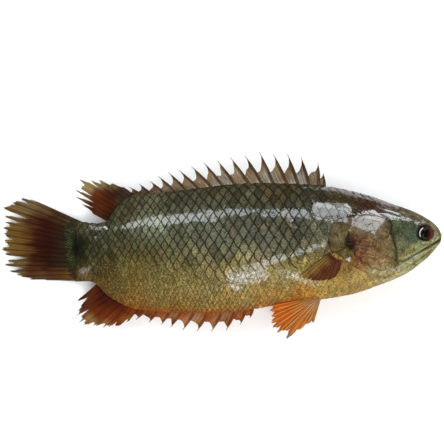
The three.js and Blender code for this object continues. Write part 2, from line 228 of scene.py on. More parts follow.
def line_through(points, size):
    """A smooth line through the points, as a function of the share of the body's length."""
    along = np.sqrt(np.array([p[0] for p in points]) / 100)
    value = np.array([p[1] for p in points]) / 100 * size
    slope = np.gradient(value, along)

    def line(at):
        q = np.sqrt(np.clip(at, 0, 1))
        i = np.clip(np.searchsorted(along, q) - 1, 0, len(along) - 2)
        gap = along[i + 1] - along[i]
        t = (q - along[i]) / gap
        start = (2 * t**3 - 3 * t**2 + 1) * value[i] + (t**3 - 2 * t**2 + t) * gap * slope[i]
        end = (3 * t**2 - 2 * t**3) * value[i + 1] + (t**3 - t**2) * gap * slope[i + 1]
        return start + end

    return line


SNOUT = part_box("body")[1][0] / MM
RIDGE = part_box("body")[1][1] / MM - 0.49 * BODY_DEPTH
back_line = line_through(BACK, BODY_DEPTH)
belly_line = line_through(BELLY, BODY_DEPTH)
width_line = line_through(HALF_WIDTH, BODY_WIDTH)


def at_of(x):
    """Distance behind the snout, as a share of the body's length."""
    return (SNOUT - np.asarray(x, dtype=float)) / BODY_LENGTH


def back(x):
    """Height of the back's ridge, in y."""
    return back_line(at_of(x)) + RIDGE


def belly(x):
    """Height of the belly's ridge, in y."""
    return belly_line(at_of(x)) + RIDGE


def half_width(x):
    """Half the fish's thickness. Over the last few millimetres the tail root thins out into the fin."""
    at = at_of(x)
    return np.maximum(width_line(at), 0) * (1 - 0.92 * step(0.95, 1, at))


def middle(x):
    """Height of the fish's middle plane: level at the head, then sinking as the tail gets thinner."""
    at = at_of(x)
    return width_line(np.maximum(at, 0.42)) - FLANK_PRESS + TAIL_LIFT * step(0.7, 1, at)


def power(x):
    """How full the cross-section is: 2 is an ellipse."""
    return FLANK_POWER + (TAIL_POWER - FLANK_POWER) * step(0.4, 0.95, at_of(x))


def flank(x, y):
    """How far the skin stands out from the middle plane."""
    centre = (back(x) + belly(x)) / 2
    reach = np.maximum((back(x) - belly(x)) / 2, 1e-6)
    level = np.clip(np.abs(y - centre) / reach, 0, 1)
    return half_width(x) * np.sqrt(1 - level ** power(x))


print("snout at x", round(SNOUT, 2), "ridge offset", round(RIDGE, 2))

# %% [markdown]
# Scales follow the skin round the body, so the skin is also needed as a sheet: x along the fish, and s, the
# distance over the skin from the widest line, up towards the back or down towards the belly. A table holds how
# far up each s lands at each of 401 stations. The skin's outward direction comes from two small steps over it.

# %% The skin as a sheet
LAST_STATION, LAST_SHARE = 400, 200
STATIONS = np.linspace(0, 1, LAST_STATION + 1)
SHARES = np.linspace(0, 1, LAST_SHARE + 1)
station_x = SNOUT - STATIONS * BODY_LENGTH
girth = np.empty(LAST_STATION + 1)
levels = np.empty((LAST_STATION + 1, LAST_SHARE + 1))
fine = np.sin(np.linspace(0, math.pi / 2, 400))
for i, x in enumerate(station_x):
    reach = (back(x) - belly(x)) / 2
    stand = half_width(x) * np.sqrt(1 - fine ** power(x))
    run = np.concatenate([[0], np.cumsum(np.hypot(np.diff(fine * reach), np.diff(stand)))])
    girth[i] = run[-1]
    levels[i] = np.interp(SHARES * run[-1], run, fine)
girth[0] = 1e-3


def girth_at(x):
    """Distance over the skin from the widest line to the back's ridge, which is also that to the belly's."""
    return np.interp(at_of(x), STATIONS, girth)


def sheet(x, s, side=1):
    """The skin's point at x and s, on the right flank (side 1) or the left (side -1)."""
    x, s = np.broadcast_arrays(np.asarray(x, dtype=float), np.asarray(s, dtype=float))
    row = np.clip(at_of(x), 0, 1) * LAST_STATION
    i = np.clip(row.astype(int), 0, LAST_STATION - 1)
    share = np.clip(np.abs(s) / girth_at(x), 0, 1) * LAST_SHARE
    k = np.clip(share.astype(int), 0, LAST_SHARE - 1)
    a, b = row - i, share - k
    near = levels[i, k] * (1 - b) + levels[i, k + 1] * b
    far = levels[i + 1, k] * (1 - b) + levels[i + 1, k + 1] * b
    level = near * (1 - a) + far * a
    y = (back(x) + belly(x)) / 2 + np.sign(s) * level * (back(x) - belly(x)) / 2
    z = middle(x) + side * half_width(x) * np.sqrt(np.maximum(1 - level ** power(x), 0))
    return np.stack([x, y, z], axis=-1)


def sheet_normal(x, s, side=1):
    """The direction out of the skin there."""
    tailwards = sheet(x - 0.4, s, side) - sheet(x + 0.4, s, side)
    upwards = sheet(x, s + 0.3, side) - sheet(x, s - 0.3, side)
    out = np.cross(upwards, tailwards) * side
    return out / np.maximum(np.linalg.norm(out, axis=-1, keepdims=True), 1e-9)


print("girth of one flank at the thickest, mm", round(2 * girth.max(), 1))

# %% [markdown]
# A fish's colours drift from place to place: dark olive along the back, grey-green on the flank, gold under the
# belly. Painting by hand is dabbing a colour here and there and letting the dabs run together. paint() does
# that: each dab has a place, a reach and a colour, and every corner of a mesh takes the mix of the dabs near it.
# The colours are stored on the mesh, so that they stay on the fish whichever way it is turned.

# %% Paint
DEPTH_OF_PAINT = 0.82


def srgb(r, g, b):
    """A colour as the eye reads it, 0 to 255, as the amounts of light that a shader wants."""
    c = np.array([r, g, b]) / 255
    return np.where(c <= 0.04045, c / 12.92, ((c + 0.055) / 1.055) ** 2.4) * DEPTH_OF_PAINT


def rgba(r, g, b):
    """The same with the fourth number that a colour socket takes."""
    return (*srgb(r, g, b), 1.0)


def paint(x, y, dabs):
    """The mix of the dabs (x, y, reach, colour) at each place."""
    total = np.zeros(len(x))
    mixed = np.zeros((len(x), 3))
    for dab_x, dab_y, reach, colour in dabs:
        distance = ((x - dab_x) ** 2 + (y - dab_y) ** 2) / reach**2
        weight = (np.exp(-distance) + 1e-4 / (1 + distance**2)) / reach**2
        total += weight
        mixed += weight[:, None] * srgb(*colour)
    return mixed / total[:, None]


BODY_DABS = [
    # back
    (45, 21, 6, (54, 50, 34)), (20, 23, 8, (68, 61, 43)), (0, 22, 8, (68, 62, 45)), (-20, 20, 8, (70, 65, 50)),
    (-38, 17, 7, (78, 72, 53)), (-50, 8, 4, (76, 72, 56)), (37, 19, 5, (52, 48, 35)), (10, 18, 8, (72, 68, 52)),
    (-25, 15, 8, (82, 80, 62)),
    # flank
    (35, 10, 7, (80, 81, 70)), (10, 10, 8, (84, 85, 74)), (-10, 9, 8, (94, 97, 84)), (-27, 7, 6, (122, 126, 106)),
    (-44, 5, 6, (78, 78, 58)), (40, 3, 6, (85, 82, 68)), (22, 2, 7, (86, 86, 74)), (0, 1, 8, (94, 95, 84)),
    (-15, 0, 8, (90, 90, 72)), (-30, -1, 6, (68, 66, 44)), (-45, -2, 6, (70, 68, 44)),
    # lower flank
    (38, -6, 5, (118, 104, 66)), (25, -8, 6, (122, 112, 76)), (8, -8, 7, (128, 118, 86)), (-8, -8, 7, (114, 106, 74)),
    (-22, -8, 7, (106, 100, 64)), (-36, -9, 6, (102, 92, 50)), (-47, -9, 4, (62, 54, 27)),
    (38, -14, 6, (168, 138, 74)),
    (22, -15, 7, (152, 134, 86)), (5, -16, 7, (148, 132, 84)), (-12, -16, 7, (140, 125, 76)),
    (-28, -16, 7, (128, 112, 66)),
    (-42, -15, 5, (98, 84, 46)),
    # belly and breast
    (34, -20.5, 3.6, (180, 118, 50)), (20, -21, 5, (160, 122, 62)), (3, -24, 5, (150, 118, 64)),
    (-15, -25, 5, (138, 104, 50)),
    (-34, -23, 6, (130, 92, 36)), (-47, -18, 3, (104, 74, 40)), (46, -16, 6, (165, 136, 76)),
    (57, -13, 5, (166, 138, 84)),
    (68, -12, 4, (162, 150, 112)), (50, -8, 3, (124, 98, 54)),
    # nape and head
    (52, 19, 4, (54, 42, 29)), (61, 16.5, 3.5, (54, 34, 23)), (66, 15, 2.5, (60, 36, 25)),
    (70, 15.5, 3, (68, 56, 44)),
    (78, 13, 3.5, (86, 80, 64)), (84, 10, 2.5, (96, 90, 74)), (88, 7, 2, (112, 106, 88)),
    (87.5, 3.5, 1.8, (124, 122, 94)),
    (84, -3, 2, (136, 134, 100)), (80, -5.5, 2.2, (140, 143, 108)), (75, -8, 2.6, (152, 152, 116)),
    (75, 6, 3.5, (66, 74, 58)), (73, 0, 3, (98, 98, 76)), (78, 2.5, 2, (60, 70, 62)), (72, 10, 3, (74, 78, 60)),
    (82, 0.8, 1.4, (122, 127, 96)), (78.5, -0.6, 1.0, (140, 146, 98)), (77.5, -1.8, 1.4, (112, 118, 86)),
    (79, 7, 2, (62, 68, 58)),
    (71, -6, 2, (112, 104, 72)), (86, 9, 1.5, (104, 98, 82)),
    # tail root
    (-52, -2, 4, (60, 61, 36)), (-57.6, -0.6, 1.7, (10, 12, 6)), (-57.4, -3.4, 1.2, (20, 22, 12)),
    (-55, -1, 1.6, (54, 56, 34)), (-58, 2.8, 1.5, (30, 34, 18)),
    (-58.5, -6.5, 2, (40, 44, 24)), (-55.2, -12, 1.4, (104, 88, 58)), (-58, 8, 2.4, (70, 66, 46)),
    (-57, -12.5, 2, (90, 66, 38)),
]


def body_colour(x, y):
    """The body's paint, with the thin orange line along the ridge of the belly."""
    line = 0.7 * (1 - step(0.2, 2.6, y - belly(x))) * step(-50, -34, x) * (1 - step(30, 42, x))
    return paint(x, y, BODY_DABS) * (1 - line[:, None]) + srgb(160, 84, 32) * line[:, None]


print("the body is painted with", len(BODY_DABS), "dabs")

# %% [markdown]
# The head's small shapes are the slit of the mouth with its lips, the rim of the eye, the nostrils, the folds of
# the jaw and the step at the gill cover's edge. head_relief() presses them into the skin the way a thumb presses
# clay, by moving its corners in or out a little. head_shade() darkens the same folds, where little light gets in.

# %% Lines and hollows of the head
MOUTH = [(91, 3.6), (88.6, 2.0), (85.1, -0.2), (82.4, -1.6), (80, -3.1), (77.3, -4.6), (73.6, -6.4)]
JAW_FOLD = [(87, -0.4), (83.6, -3.4), (79.6, -6.4), (75, -9), (70.5, -10.6)]
LIP_FOLD = [(87.6, 3.2), (84.6, 1.2), (81.2, -0.6), (77.8, -2.6)]
CHEEK_FOLD = [(78.4, 1.6), (76.4, -1), (74.4, -3.2), (72.6, -5.4)]
NAPE_FOLD = [(72.5, 12.6), (68, 14.2), (62.5, 14.6), (57, 13.6)]
EYE = (83.1, 5.3)
EYE_RADIUS = 3.15
NOSTRILS = [(86.6, 7.4, 0.42), (84.6, 9.6, 0.5)]
SPOKES = 160  # points on the gill cover's outline
GILL_COVER = [
    (14.3, 19), (17.9, 24.6), (23.3, 25.4), (28.8, 22.1), (30.5, 16.8), (31.4, 9), (31.5, 3.4), (30.5, -3.8),
    (28.8, -5.5), (26.5, -10.5), (24.1, -15.3), (22.3, -18.3), (18.5, -22.1), (14.9, -23.3), (13, -19.1),
    (12.5, -10.9), (13, 1.1), (14.1, 10.7),
]


def from_line(x, y, points):
    """Distance from each place to a bent line. It is negative on the line's right-hand side."""
    best = np.full(np.shape(x), 1e9)
    signed = np.full(np.shape(x), 1e9)
    for (ax, ay), (bx, by) in zip(points, points[1:]):
        length2 = (bx - ax) ** 2 + (by - ay) ** 2
        t = np.clip(((x - ax) * (bx - ax) + (y - ay) * (by - ay)) / length2, 0, 1)
        distance = np.hypot(x - ax - t * (bx - ax), y - ay - t * (by - ay))
        turn = (bx - ax) * (y - ay) - (by - ay) * (x - ax)
        closer = distance < best
        best = np.where(closer, distance, best)
        signed = np.where(closer, distance * np.sign(turn), signed)
    return signed


def closed_curve(points, count):
    """Evenly counted points on a smooth closed curve through the given ones."""
    p = np.array(points, dtype=float)
    n = len(p)
    t = np.arange(count) / count * n
    i = t.astype(int)
    f = (t - i)[:, None]
    a, b, c, d = p[(i - 1) % n], p[i % n], p[(i + 1) % n], p[(i + 2) % n]
    return 0.5 * (2 * b + (c - a) * f + (2 * a - 5 * b + 4 * c - d) * f**2 + (3 * b - a - 3 * c + d) * f**3)


cover_edge = closed_curve(
    [(SNOUT - at * BODY_LENGTH / 100, height * BODY_DEPTH / 100 + RIDGE) for at, height in GILL_COVER], SPOKES
)


def from_cover_edge(x, y):
    """Distance from each place to the gill cover's outline. It is positive inside the outline."""
    return from_line(x, y, [tuple(p) for p in cover_edge] + [tuple(cover_edge[0])])


def head_relief(x, y):
    """How far the head's skin stands out (or in, below 0) at a place, in millimetres."""
    mouth = from_line(x, y, MOUTH)
    fade = step(73.2, 75.5, x)
    out = fade * (-0.8 * bump(mouth, 0.34) + 0.24 * bump(mouth - 0.95, 0.55) + 0.2 * bump(mouth + 1.0, 0.6))
    out -= 0.3 * bump(from_line(x, y, JAW_FOLD), 0.4)
    out -= 0.32 * bump(from_line(x, y, LIP_FOLD), 0.34)
    out -= 0.14 * bump(from_line(x, y, CHEEK_FOLD), 0.7)
    out -= 0.16 * bump(from_line(x, y, NAPE_FOLD), 0.5)
    from_eye = np.hypot(x - EYE[0], y - EYE[1])
    socket = 1 - step(EYE_RADIUS - 0.5, EYE_RADIUS + 0.35, from_eye)
    out += 0.34 * bump(from_eye - EYE_RADIUS - 0.75, 0.5) - 1.5 * socket
    for nostril_x, nostril_y, radius in NOSTRILS:
        from_nostril = np.hypot(x - nostril_x, y - nostril_y)
        out += -0.5 * bump(from_nostril, radius) + 0.14 * bump(from_nostril - radius - 0.35, 0.25)
    edge = from_cover_edge(x, y)
    out -= 0.7 * bump(edge, 0.6) + 0.5 * (edge > 0) * step(0, 1, edge) * step(40, 41, x)
    return out


def head_shade(x, y):
    """How dark the head's folds are, and how pale the lips beside the mouth."""
    fade = step(72.5, 75, x)
    mouth = from_line(x, y, MOUTH)
    shade = 1 - 0.7 * fade * bump(mouth, 0.55) + 0.3 * fade * (bump(mouth - 1.1, 0.6) + bump(mouth + 1.1, 0.6))
    shade -= 0.4 * fade * bump(from_line(x, y, JAW_FOLD), 0.4) + 0.35 * fade * bump(from_line(x, y, LIP_FOLD), 0.35)
    edge = from_cover_edge(x, y)
    shade -= (0.25 + 0.35 * step(-8, -2, y)) * bump(edge, 0.75) * (x > 42)
    from_eye = np.hypot(x - EYE[0], y - EYE[1])
    shade -= 0.45 * bump(from_eye - EYE_RADIUS - 0.1, 0.5)
    shade += 0.4 * bump(from_eye - EYE_RADIUS - 1.0, 0.45) * step(-2, 2, x - EYE[0] - (y - EYE[1]))
    return np.clip(shade, 0.12, 1.5)


print("gill cover outline from x", cover_edge[:, 0].min().round(1), "to", cover_edge[:, 0].max().round(1), "mm")

# %% [markdown]
# Water does not lie evenly on a fish just out of the pond. It stays as a film along the upper flank, on the
# nape and in a few patches behind the gill cover, and drains from the rest. wetness() says where the film lies:
# near each of a few bent lines, as far as that line's reach, and as unbroken as its last number says.

# %% Where the water lies
FILM = [
    ([(-54, 7.6), (-47, 7.5), (-38, 8.2), (-29, 10)], 1.2, 0.9), ([(-29, 9.8), (-18, 11), (-8, 11.9)], 2.0, 0.85),
    ([(-8, 11.9), (2, 12.6), (12, 12.9), (22, 12.6), (34, 12.4)], 2.5, 0.66), ([(79.4, 9.2), (82, 9.8)], 0.8, 0.95),
    ([(34, 24.4), (44, 23.5), (54, 21.4), (64, 18.7), (72, 16.1)], 1.2, 0.72),
    ([(39.5, 15.2), (44, 15.2), (50.5, 14.4)], 2.6, 0.95), ([(38, 11), (43, 10.6), (51, 10.4)], 1.3, 0.55),
    ([(56.5, 8.6), (59, 10.2), (63, 10.8)], 3.9, 1.0), ([(62, 5.0), (65, 6.6)], 1.8, 0.95),
    ([(65, 14.2), (70, 12.8), (75, 11)], 2.4, 0.66),
    ([(28.2, -3.6), (34, -1.8), (41.6, 0.9)], 0.85, 0.9), ([(16.5, -7.6), (20.5, -6), (25.5, -4.2)], 1.4, 0.85),
    ([(5, -12.2), (10, -12.4), (16, -11.4)], 3.4, 0.56), ([(10, -9.4), (17, -8.6)], 2.2, 0.6),
    ([(25, -10.6), (32, -12.6), (39, -15)], 2.0, 0.5),
    ([(5, -16), (7.4, -17.4)], 1.4, 0.7), ([(47.6, -8), (51.4, -5.2)], 1.1, 0.95),
    ([(-57, -10.4), (-54, -9)], 1.1, 0.9), ([(66.5, -9.8), (72, -9)], 0.9, 0.8), ([(77, -4.6), (80.5, -3)], 0.6, 0.9),
]


def wetness(x, y):
    """How unbroken the film of water is at each place, from 0 to 1."""
    wet = np.zeros(len(x))
    for points, reach, fullness in FILM:
        near = 1 - step(reach - 0.9, reach + 0.9, np.abs(from_line(x, y, points)))
        wet = np.maximum(wet, fullness * near)
    return wet


print("water lies in", len(FILM), "films")

# %% [markdown]
# The skin starts as a sphere with its poles at the snout and the tail root. Every ring of the sphere becomes a
# cross-section of the fish. More than half of the rings go to the front third, where the small shapes are. The
# flank that the fish lies on is pressed flat by its own weight.

# %% The skin
RINGS, SIDES = 264, 224
skin, ball = unit_ball("skin", SIDES, RINGS)
ring = np.round(np.arccos(np.clip(ball[:, 2], -1, 1)) / math.pi * RINGS)
share = np.minimum(ring / (RINGS - 1), 1)
at = np.where(share < 0.55, 0.34 * (share / 0.55) ** 1.35, 0.34 + 0.66 * (np.maximum(share, 0.55) - 0.55) / 0.45)
turn = np.abs(np.arctan2(ball[:, 1], ball[:, 0])) / math.pi
side = np.where(ball[:, 1] >= 0, 1.0, -1.0)
pole = (ring == 0) | (ring == RINGS)
x = SNOUT - at * BODY_LENGTH
s = girth_at(x) * (1 - 2 * turn)
s[pole] = 0
on_skin = np.where(side[:, None] > 0, sheet(x, s, 1), sheet(x, s, -1))
on_skin[pole, 2] = middle(x[pole])
out = np.where(side[:, None] > 0, sheet_normal(x, s, 1), sheet_normal(x, s, -1))
on_ridge = (turn < 1e-4) | (turn > 1 - 1e-4)
relief = np.where(pole | on_ridge, 0, head_relief(on_skin[:, 0], on_skin[:, 1]))
on_skin += out * relief[:, None]
on_skin[:, 2] = rest_on_table(on_skin[:, 2])
set_corners(skin, on_skin)
face_outwards(skin)
skin_paint = body_colour(on_skin[:, 0], on_skin[:, 1]) * head_shade(on_skin[:, 0], on_skin[:, 1])[:, None]
save_colours(skin, "paint", skin_paint)
save_floats(skin, "wet", wetness(on_skin[:, 0], on_skin[:, 1]))
smooth(skin, 75)
print("skin", len(skin.data.polygons), "faces, box mm", on_skin.min(0).round(1), on_skin.max(0).round(1))

# %% [markdown]
# The scales lie like roof tiles. Each one's free edge points to the tail and lies on the next, and every second
# row is shifted by half a scale, so what shows of each is a tall diamond. One scale is modelled from a grid:
# its free edge is drawn back at both sides, its root dips under its neighbours and its middle is domed. It has
# 68 faces, since hundreds of copies are laid over the skin.

# %% One scale
SCALE_COLUMNS, SCALE_ROWS = 6, 4
one_scale, _ = unit_grid("one_scale", SCALE_COLUMNS, SCALE_ROWS)
bpy.ops.object.mode_set(mode="EDIT")
bpy.ops.mesh.select_all(action="SELECT")
bpy.ops.mesh.extrude_region_move(TRANSFORM_OT_translate={"value": (0, 0, -1)})
bpy.ops.object.mode_set(mode="OBJECT")
face_outwards(one_scale)
template = corners(one_scale).copy()
template_faces = [tuple(p.vertices) for p in one_scale.data.polygons]
bpy.data.objects.remove(one_scale)
print("one scale has", len(template), "corners and", len(template_faces), "faces")

# %% [markdown]
# The rows run along the fish at a spacing that shrinks towards the tail, and stop where they reach the back's or
# the belly's ridge. The breast and the lowest part of the flank have much smaller scales, in rows of their own.

# %% Where the scales lie
PITCH, ROW_SPACING = 4.05, 3.2
SMALL_PITCH, SMALL_SPACING = 2.1, 2.3
SCALE_LIFT, SCALE_THICKNESS = 0.34, 0.26
SCALE_FRONT, SCALE_END = 64.0, -59.5


def shrink(x):
    """Size of the scales at x, as a share of those on the middle of the flank."""
    return 1 - 0.36 * step(8, -50, x) - 0.2 * step(40, 62, x)


def small_scales_below(x):
    """The line below which the scales are small. It is lowest on the middle of the flank."""
    return -6.3 - 4.7 * bump(np.asarray(x) + 4, 15) + 3.0 * step(22, 38, x)


def scale_places(pitch, spacing):
    """(x, s) of the middle of every scale's free edge, with its size, row by row."""
    walk_x = np.linspace(68, -62, 1301)
    walk = np.concatenate([[0], np.cumsum(0.1 / (pitch * shrink((walk_x[1:] + walk_x[:-1]) / 2)))])
    places = []
    for row in range(-24, 25):
        for number in range(0, 110):
            x = float(np.interp(number + 0.5 * (row % 2), walk, walk_x))
            size = float(shrink(x))
            s = row * spacing * size
            if SCALE_END < x < SCALE_FRONT and abs(s) < girth_at(x) - 0.2 * spacing * size:
                places.append((x, s, size))
    return np.array(places)


def on_bare_skin(x, y):
    """True where the fish has no large scales: the head, the gill covers and the pectoral fin's root."""
    edge = from_cover_edge(x, y)
    head = (y > 0) & (x > 66 - 0.9 * np.maximum(18 - y, 0))
    breast = (y < 0) & (x > 60)
    return (edge > -0.6) | head | breast


def save_scales(piece, places, colour, u, v, outline, gold):
    """Stores what the scales' material reads. u and v are one scale's, and are repeated for all of them."""
    count = len(places) // len(u)
    save_colours(piece, "paint", colour)
    save_floats(piece, "across", np.tile(u, count))
    save_floats(piece, "back_to_edge", np.tile(v, count))
    save_floats(piece, "outline", outline)
    save_floats(piece, "gold", gold)
    save_floats(piece, "wet", wetness(places[:, 0], places[:, 1]))
    smooth(piece, 40)
    print(piece.name, count, "scales,", len(piece.data.polygons), "faces")


large_places = scale_places(PITCH, ROW_SPACING)
small_places = scale_places(SMALL_PITCH, SMALL_SPACING)
print(len(large_places), "places for large scales and", len(small_places), "for small ones on one flank")

# %% [markdown]
# Every corner of every copy is laid on the skin as a sheet, so a scale bends with the body. Each gets its own
# slight turn, lift and tint, because no two scales on a real fish catch the light alike.

# %% Lay the scales
def lay_scales(name, flank_side, places, small):
    """One piece with the large or the small scales of one flank."""
    draw = np.random.default_rng((11 if flank_side > 0 else 12) + (10 if small else 0))
    pitch, spacing = (SMALL_PITCH, SMALL_SPACING) if small else (PITCH, ROW_SPACING)
    spot = sheet(places[:, 0], places[:, 1], flank_side)
    low = spot[:, 1] < small_scales_below(spot[:, 0]) + (0.6 if small else -0.6)
    keep = ~on_bare_skin(spot[:, 0], spot[:, 1]) & (low if small else ~low)
    kept = places[keep]
    count = len(kept)
    u, v, under = template[:, 0], (template[:, 1] + 1) / 2, template[:, 2] < -0.5
    wobble = draw.normal(0, 1, (5, count))
    size = kept[:, 2][:, None] * (1 + 0.035 * wobble[0][:, None])
    half = 1.12 * spacing * size
    length = 1.3 * pitch * size
    across = u[None, :] * half
    edge = 0.5 * pitch * size * np.abs(across / (spacing * size)) ** 1.6
    along = (1 - v[None, :]) * length + edge + 0.07 * wobble[1][:, None] * across
    px = kept[:, 0][:, None] + along - 0.14 * wobble[2][:, None]
    ps = kept[:, 1][:, None] + across + 0.1 * wobble[4][:, None]
    limit = girth_at(px)
    ps = np.clip(ps, -limit, limit)
    height = SCALE_LIFT * (0.7 if small else 1.0) * size
    lift = height * (1 + 0.16 * wobble[3][:, None]) * (1 - 1.12 * (1 - v[None, :]))
    lift = lift + (0.1 if small else 0.17) * size * (1 - u[None, :] ** 2) * v[None, :] ** 0.5
    lift = np.where(under[None, :], lift - SCALE_THICKNESS, lift)
    px, ps, lift = px.ravel(), ps.ravel(), lift.ravel()
    spots = sheet(px, ps, flank_side) + sheet_normal(px, ps, flank_side) * lift[:, None]
    spots[:, 2] = rest_on_table(spots[:, 2])
    faces = (np.array(template_faces)[None] + (np.arange(count) * len(template))[:, None, None]).reshape(-1, 4)
    piece = piece_from(name, spots, faces.tolist())
    middle_spot = sheet(kept[:, 0] + 1.5, kept[:, 1], flank_side)
    colour = body_colour(middle_spot[:, 0], middle_spot[:, 1])
    spread = 0.14 if small else 0.21
    tint = np.clip(draw.normal(1, spread, count), 0.6, 1.5)[:, None] * (1 + 0.035 * draw.normal(0, 1, (count, 3)))
    corner_colour = body_colour(spots[:, 0], spots[:, 1])
    blended = 0.5 * np.repeat(colour, len(template), axis=0) + 0.5 * corner_colour
    blended = blended * np.repeat(tint, len(template), axis=0)
    fade = 0.35 * step(0, 26, spots[:, 0]) + 0.25 if small else 0.0
    outline = (1 - 0.75 * step(30, 45, spots[:, 0])) * (1 - fade)
    save_scales(piece, spots, blended, u, v, outline, step(-3, -10, spots[:, 1]))
    return piece


scales_right, scales_left = (
    join([
        lay_scales("scales_" + flank_name, flank_side, large_places, False),
        lay_scales("small_" + flank_name, flank_side, small_places, True),
    ], "scales_" + flank_name)
    for flank_name, flank_side in (("right", 1), ("left", -1))
)

# %% [markdown]
# A gill cover is a thin bony plate under skin. Its rear part is a soft flap that closes the gill slit, and the
# bone in front of it ends in a saw of small spines beside a deep notch. The cover is a flattened sphere: its
# upper half becomes the outside, its lower half the inside, and its equator the rim.

# %% The gill covers
BONE_EDGE = [
    (57.5, 12.6), (53.6, 9.8), (51.8, 6.4), (51.2, 3.2), (52.8, 1.9), (51.0, 0.6), (52.6, -0.4), (51.9, -1.6),
    (54.2, -2.3), (53.9, -3.6), (56.4, -4.4), (56.6, -5.8), (59.4, -6.8), (60.6, -8.4), (64.4, -9.4), (69, -9.2),
]
COVER_DABS = [
    (62, 1, 3, (94, 76, 53)), (66.5, 2.5, 3, (108, 95, 72)), (68.5, 6.5, 2.2, (90, 82, 62)),
    (62, 8.5, 3, (104, 92, 74)),
    (56, 10, 2.6, (84, 68, 54)), (55, 6, 2, (96, 80, 62)), (53.4, 3.2, 1.4, (74, 46, 34)),
    # The two near-black dabs at the notch, near (52, 0.6 to 2.6), are painted shade in its hollow.
    (52.3, 2.6, 1.5, (22, 11, 8)), (52.0, 0.6, 1.2, (36, 22, 14)),
    (57, 0.4, 1.8, (92, 64, 48)), (60.5, -4, 2.2, (112, 86, 60)), (64, -5.4, 2.2, (124, 100, 74)),
    (55.6, -4.6, 1.6, (108, 66, 44)),
    (58, -7.2, 1.8, (126, 88, 54)), (52, -6, 1.8, (116, 84, 42)), (66, -9.6, 2, (146, 134, 100)),
    (61, -10, 2, (148, 138, 104)),
    (48, 4, 2.6, (92, 84, 60)), (47, -1.6, 2, (80, 68, 38)), (45.4, 6.5, 2, (84, 78, 58)),
    (47.6, 10, 2.4, (74, 66, 52)),
    (69.6, -1, 1.8, (104, 94, 66)), (70.4, -5.5, 1.4, (96, 84, 54)), (50.6, -3.2, 1.6, (92, 80, 44)),
    (43.6, 1, 1.0, (66, 54, 34)),
]
BONE_STREAKS = [
    ((61, 2.2), (54.2, 3.0)), ((61.5, 0.6), (54.4, 1.3)), ((60.5, -0.9), (55.2, 0)), ((61, -2.6), (56, -1.7)),
    ((62.5, -4.2), (57.6, -3.2)), ((63, -5.8), (59.4, -5.4)),
]


COVER_HUB = np.array([57.0, 0.8])


def gill_cover(name, side):
    """A gill cover laid over the flank, with its bone raised and its pores and notch pressed in."""
    piece, ball = unit_ball(name, SPOKES, 76)
    tilt = np.arccos(np.clip(np.abs(ball[:, 2]), 0, 1)) / (math.pi / 2)
    spoke = np.round((np.arctan2(ball[:, 1], ball[:, 0]) / (2 * math.pi) % 1) * SPOKES).astype(int) % SPOKES
    place = COVER_HUB + (cover_edge[spoke] - COVER_HUB) * tilt[:, None] ** 0.9
    place[tilt < 1e-6] = COVER_HUB
    x, y = place[:, 0], place[:, 1]
    bone = step(-0.35, 0.35, from_line(x, y, BONE_EDGE))
    plump = 1.0 * np.exp(-((x - 61) ** 2 / 90 + (y - 0.5) ** 2 / 64)) * step(1, 0.8, tilt)
    rise = 0.12 + 0.26 * (1 - step(0.93, 1, tilt)) + 0.34 * bone + plump
    rise += 0.1 * bump(np.hypot(x - 66, y - 4) % 2.6 - 1.3, 0.45) * bone * (1 - step(2, 6, y))
    rise -= 0.8 * bump(np.hypot(x - 52.1, (y - 1.9) * 0.6), 1.2)
    inside = ball[:, 2] < -1e-4
    rise = np.where(inside, -0.35 - 0.1 * (1 - tilt), rise)
    rise = np.where(np.abs(ball[:, 2]) <= 1e-4, 0.0, rise)
    slope_x = (flank(x + 0.2, y) - flank(x - 0.2, y)) / 0.4
    slope_y = (flank(x, y + 0.2) - flank(x, y - 0.2)) / 0.4
    lean = np.sqrt(1 + slope_x**2 + slope_y**2)
    spots = np.empty((len(x), 3))
    spots[:, 0] = x - slope_x / lean * rise
    spots[:, 1] = y - slope_y / lean * rise
    spots[:, 2] = np.maximum(middle(x) + side * (flank(x, y) + rise / lean), 0)
    set_corners(piece, spots)
    face_outwards(piece)
    colour = paint(x, y, COVER_DABS)
    colour *= (1 - 0.55 * bump(from_line(x, y, BONE_EDGE), 0.35) * (y < 6))[:, None]
    # Painted shade: darker along the cover's rim, where its edge stands off the flank, less so low down.
    colour *= (1 - (0.3 + 0.35 * step(-8, -2, y)) * step(0.88, 0.99, tilt))[:, None]
    for streak in BONE_STREAKS:
        away = from_line(x, y, streak)
        colour *= (1 + 0.6 * bump(away, 0.2) - 0.2 * bump(away - 0.6, 0.3))[:, None]
    save_colours(piece, "paint", colour)
    save_floats(piece, "wet", wetness(x, y))
    smooth(piece, 60)
    return piece


cover_right = gill_cover("gill_cover_right_skin", 1)
cover_left = gill_cover("gill_cover_left_skin", -1)
print("gill covers", len(cover_right.data.polygons), "faces each")

# %% [markdown]
# The saw at the rear of the gill cover is what a climbing perch pulls itself along with. Its teeth are cones
# that lie along the cover with their points to the tail.

# %% Teeth of the gill covers
TEETH = [
    (53.6, 2.4, 51.3, 2.5), (53.9, 1.4, 50.9, 0.9), (54.6, 0.2, 51.8, -0.7), (55.4, -0.9, 52.5, -2.0),
    (56.4, -2.0, 53.6, -3.3),
    (57.6, -3.1, 55.0, -4.7), (59.0, -4.2, 56.6, -6.0), (60.6, -5.3, 58.6, -7.2), (57.4, 0.9, 54.6, 0.6),
    (58.6, -0.4, 55.8, -1.2),
]


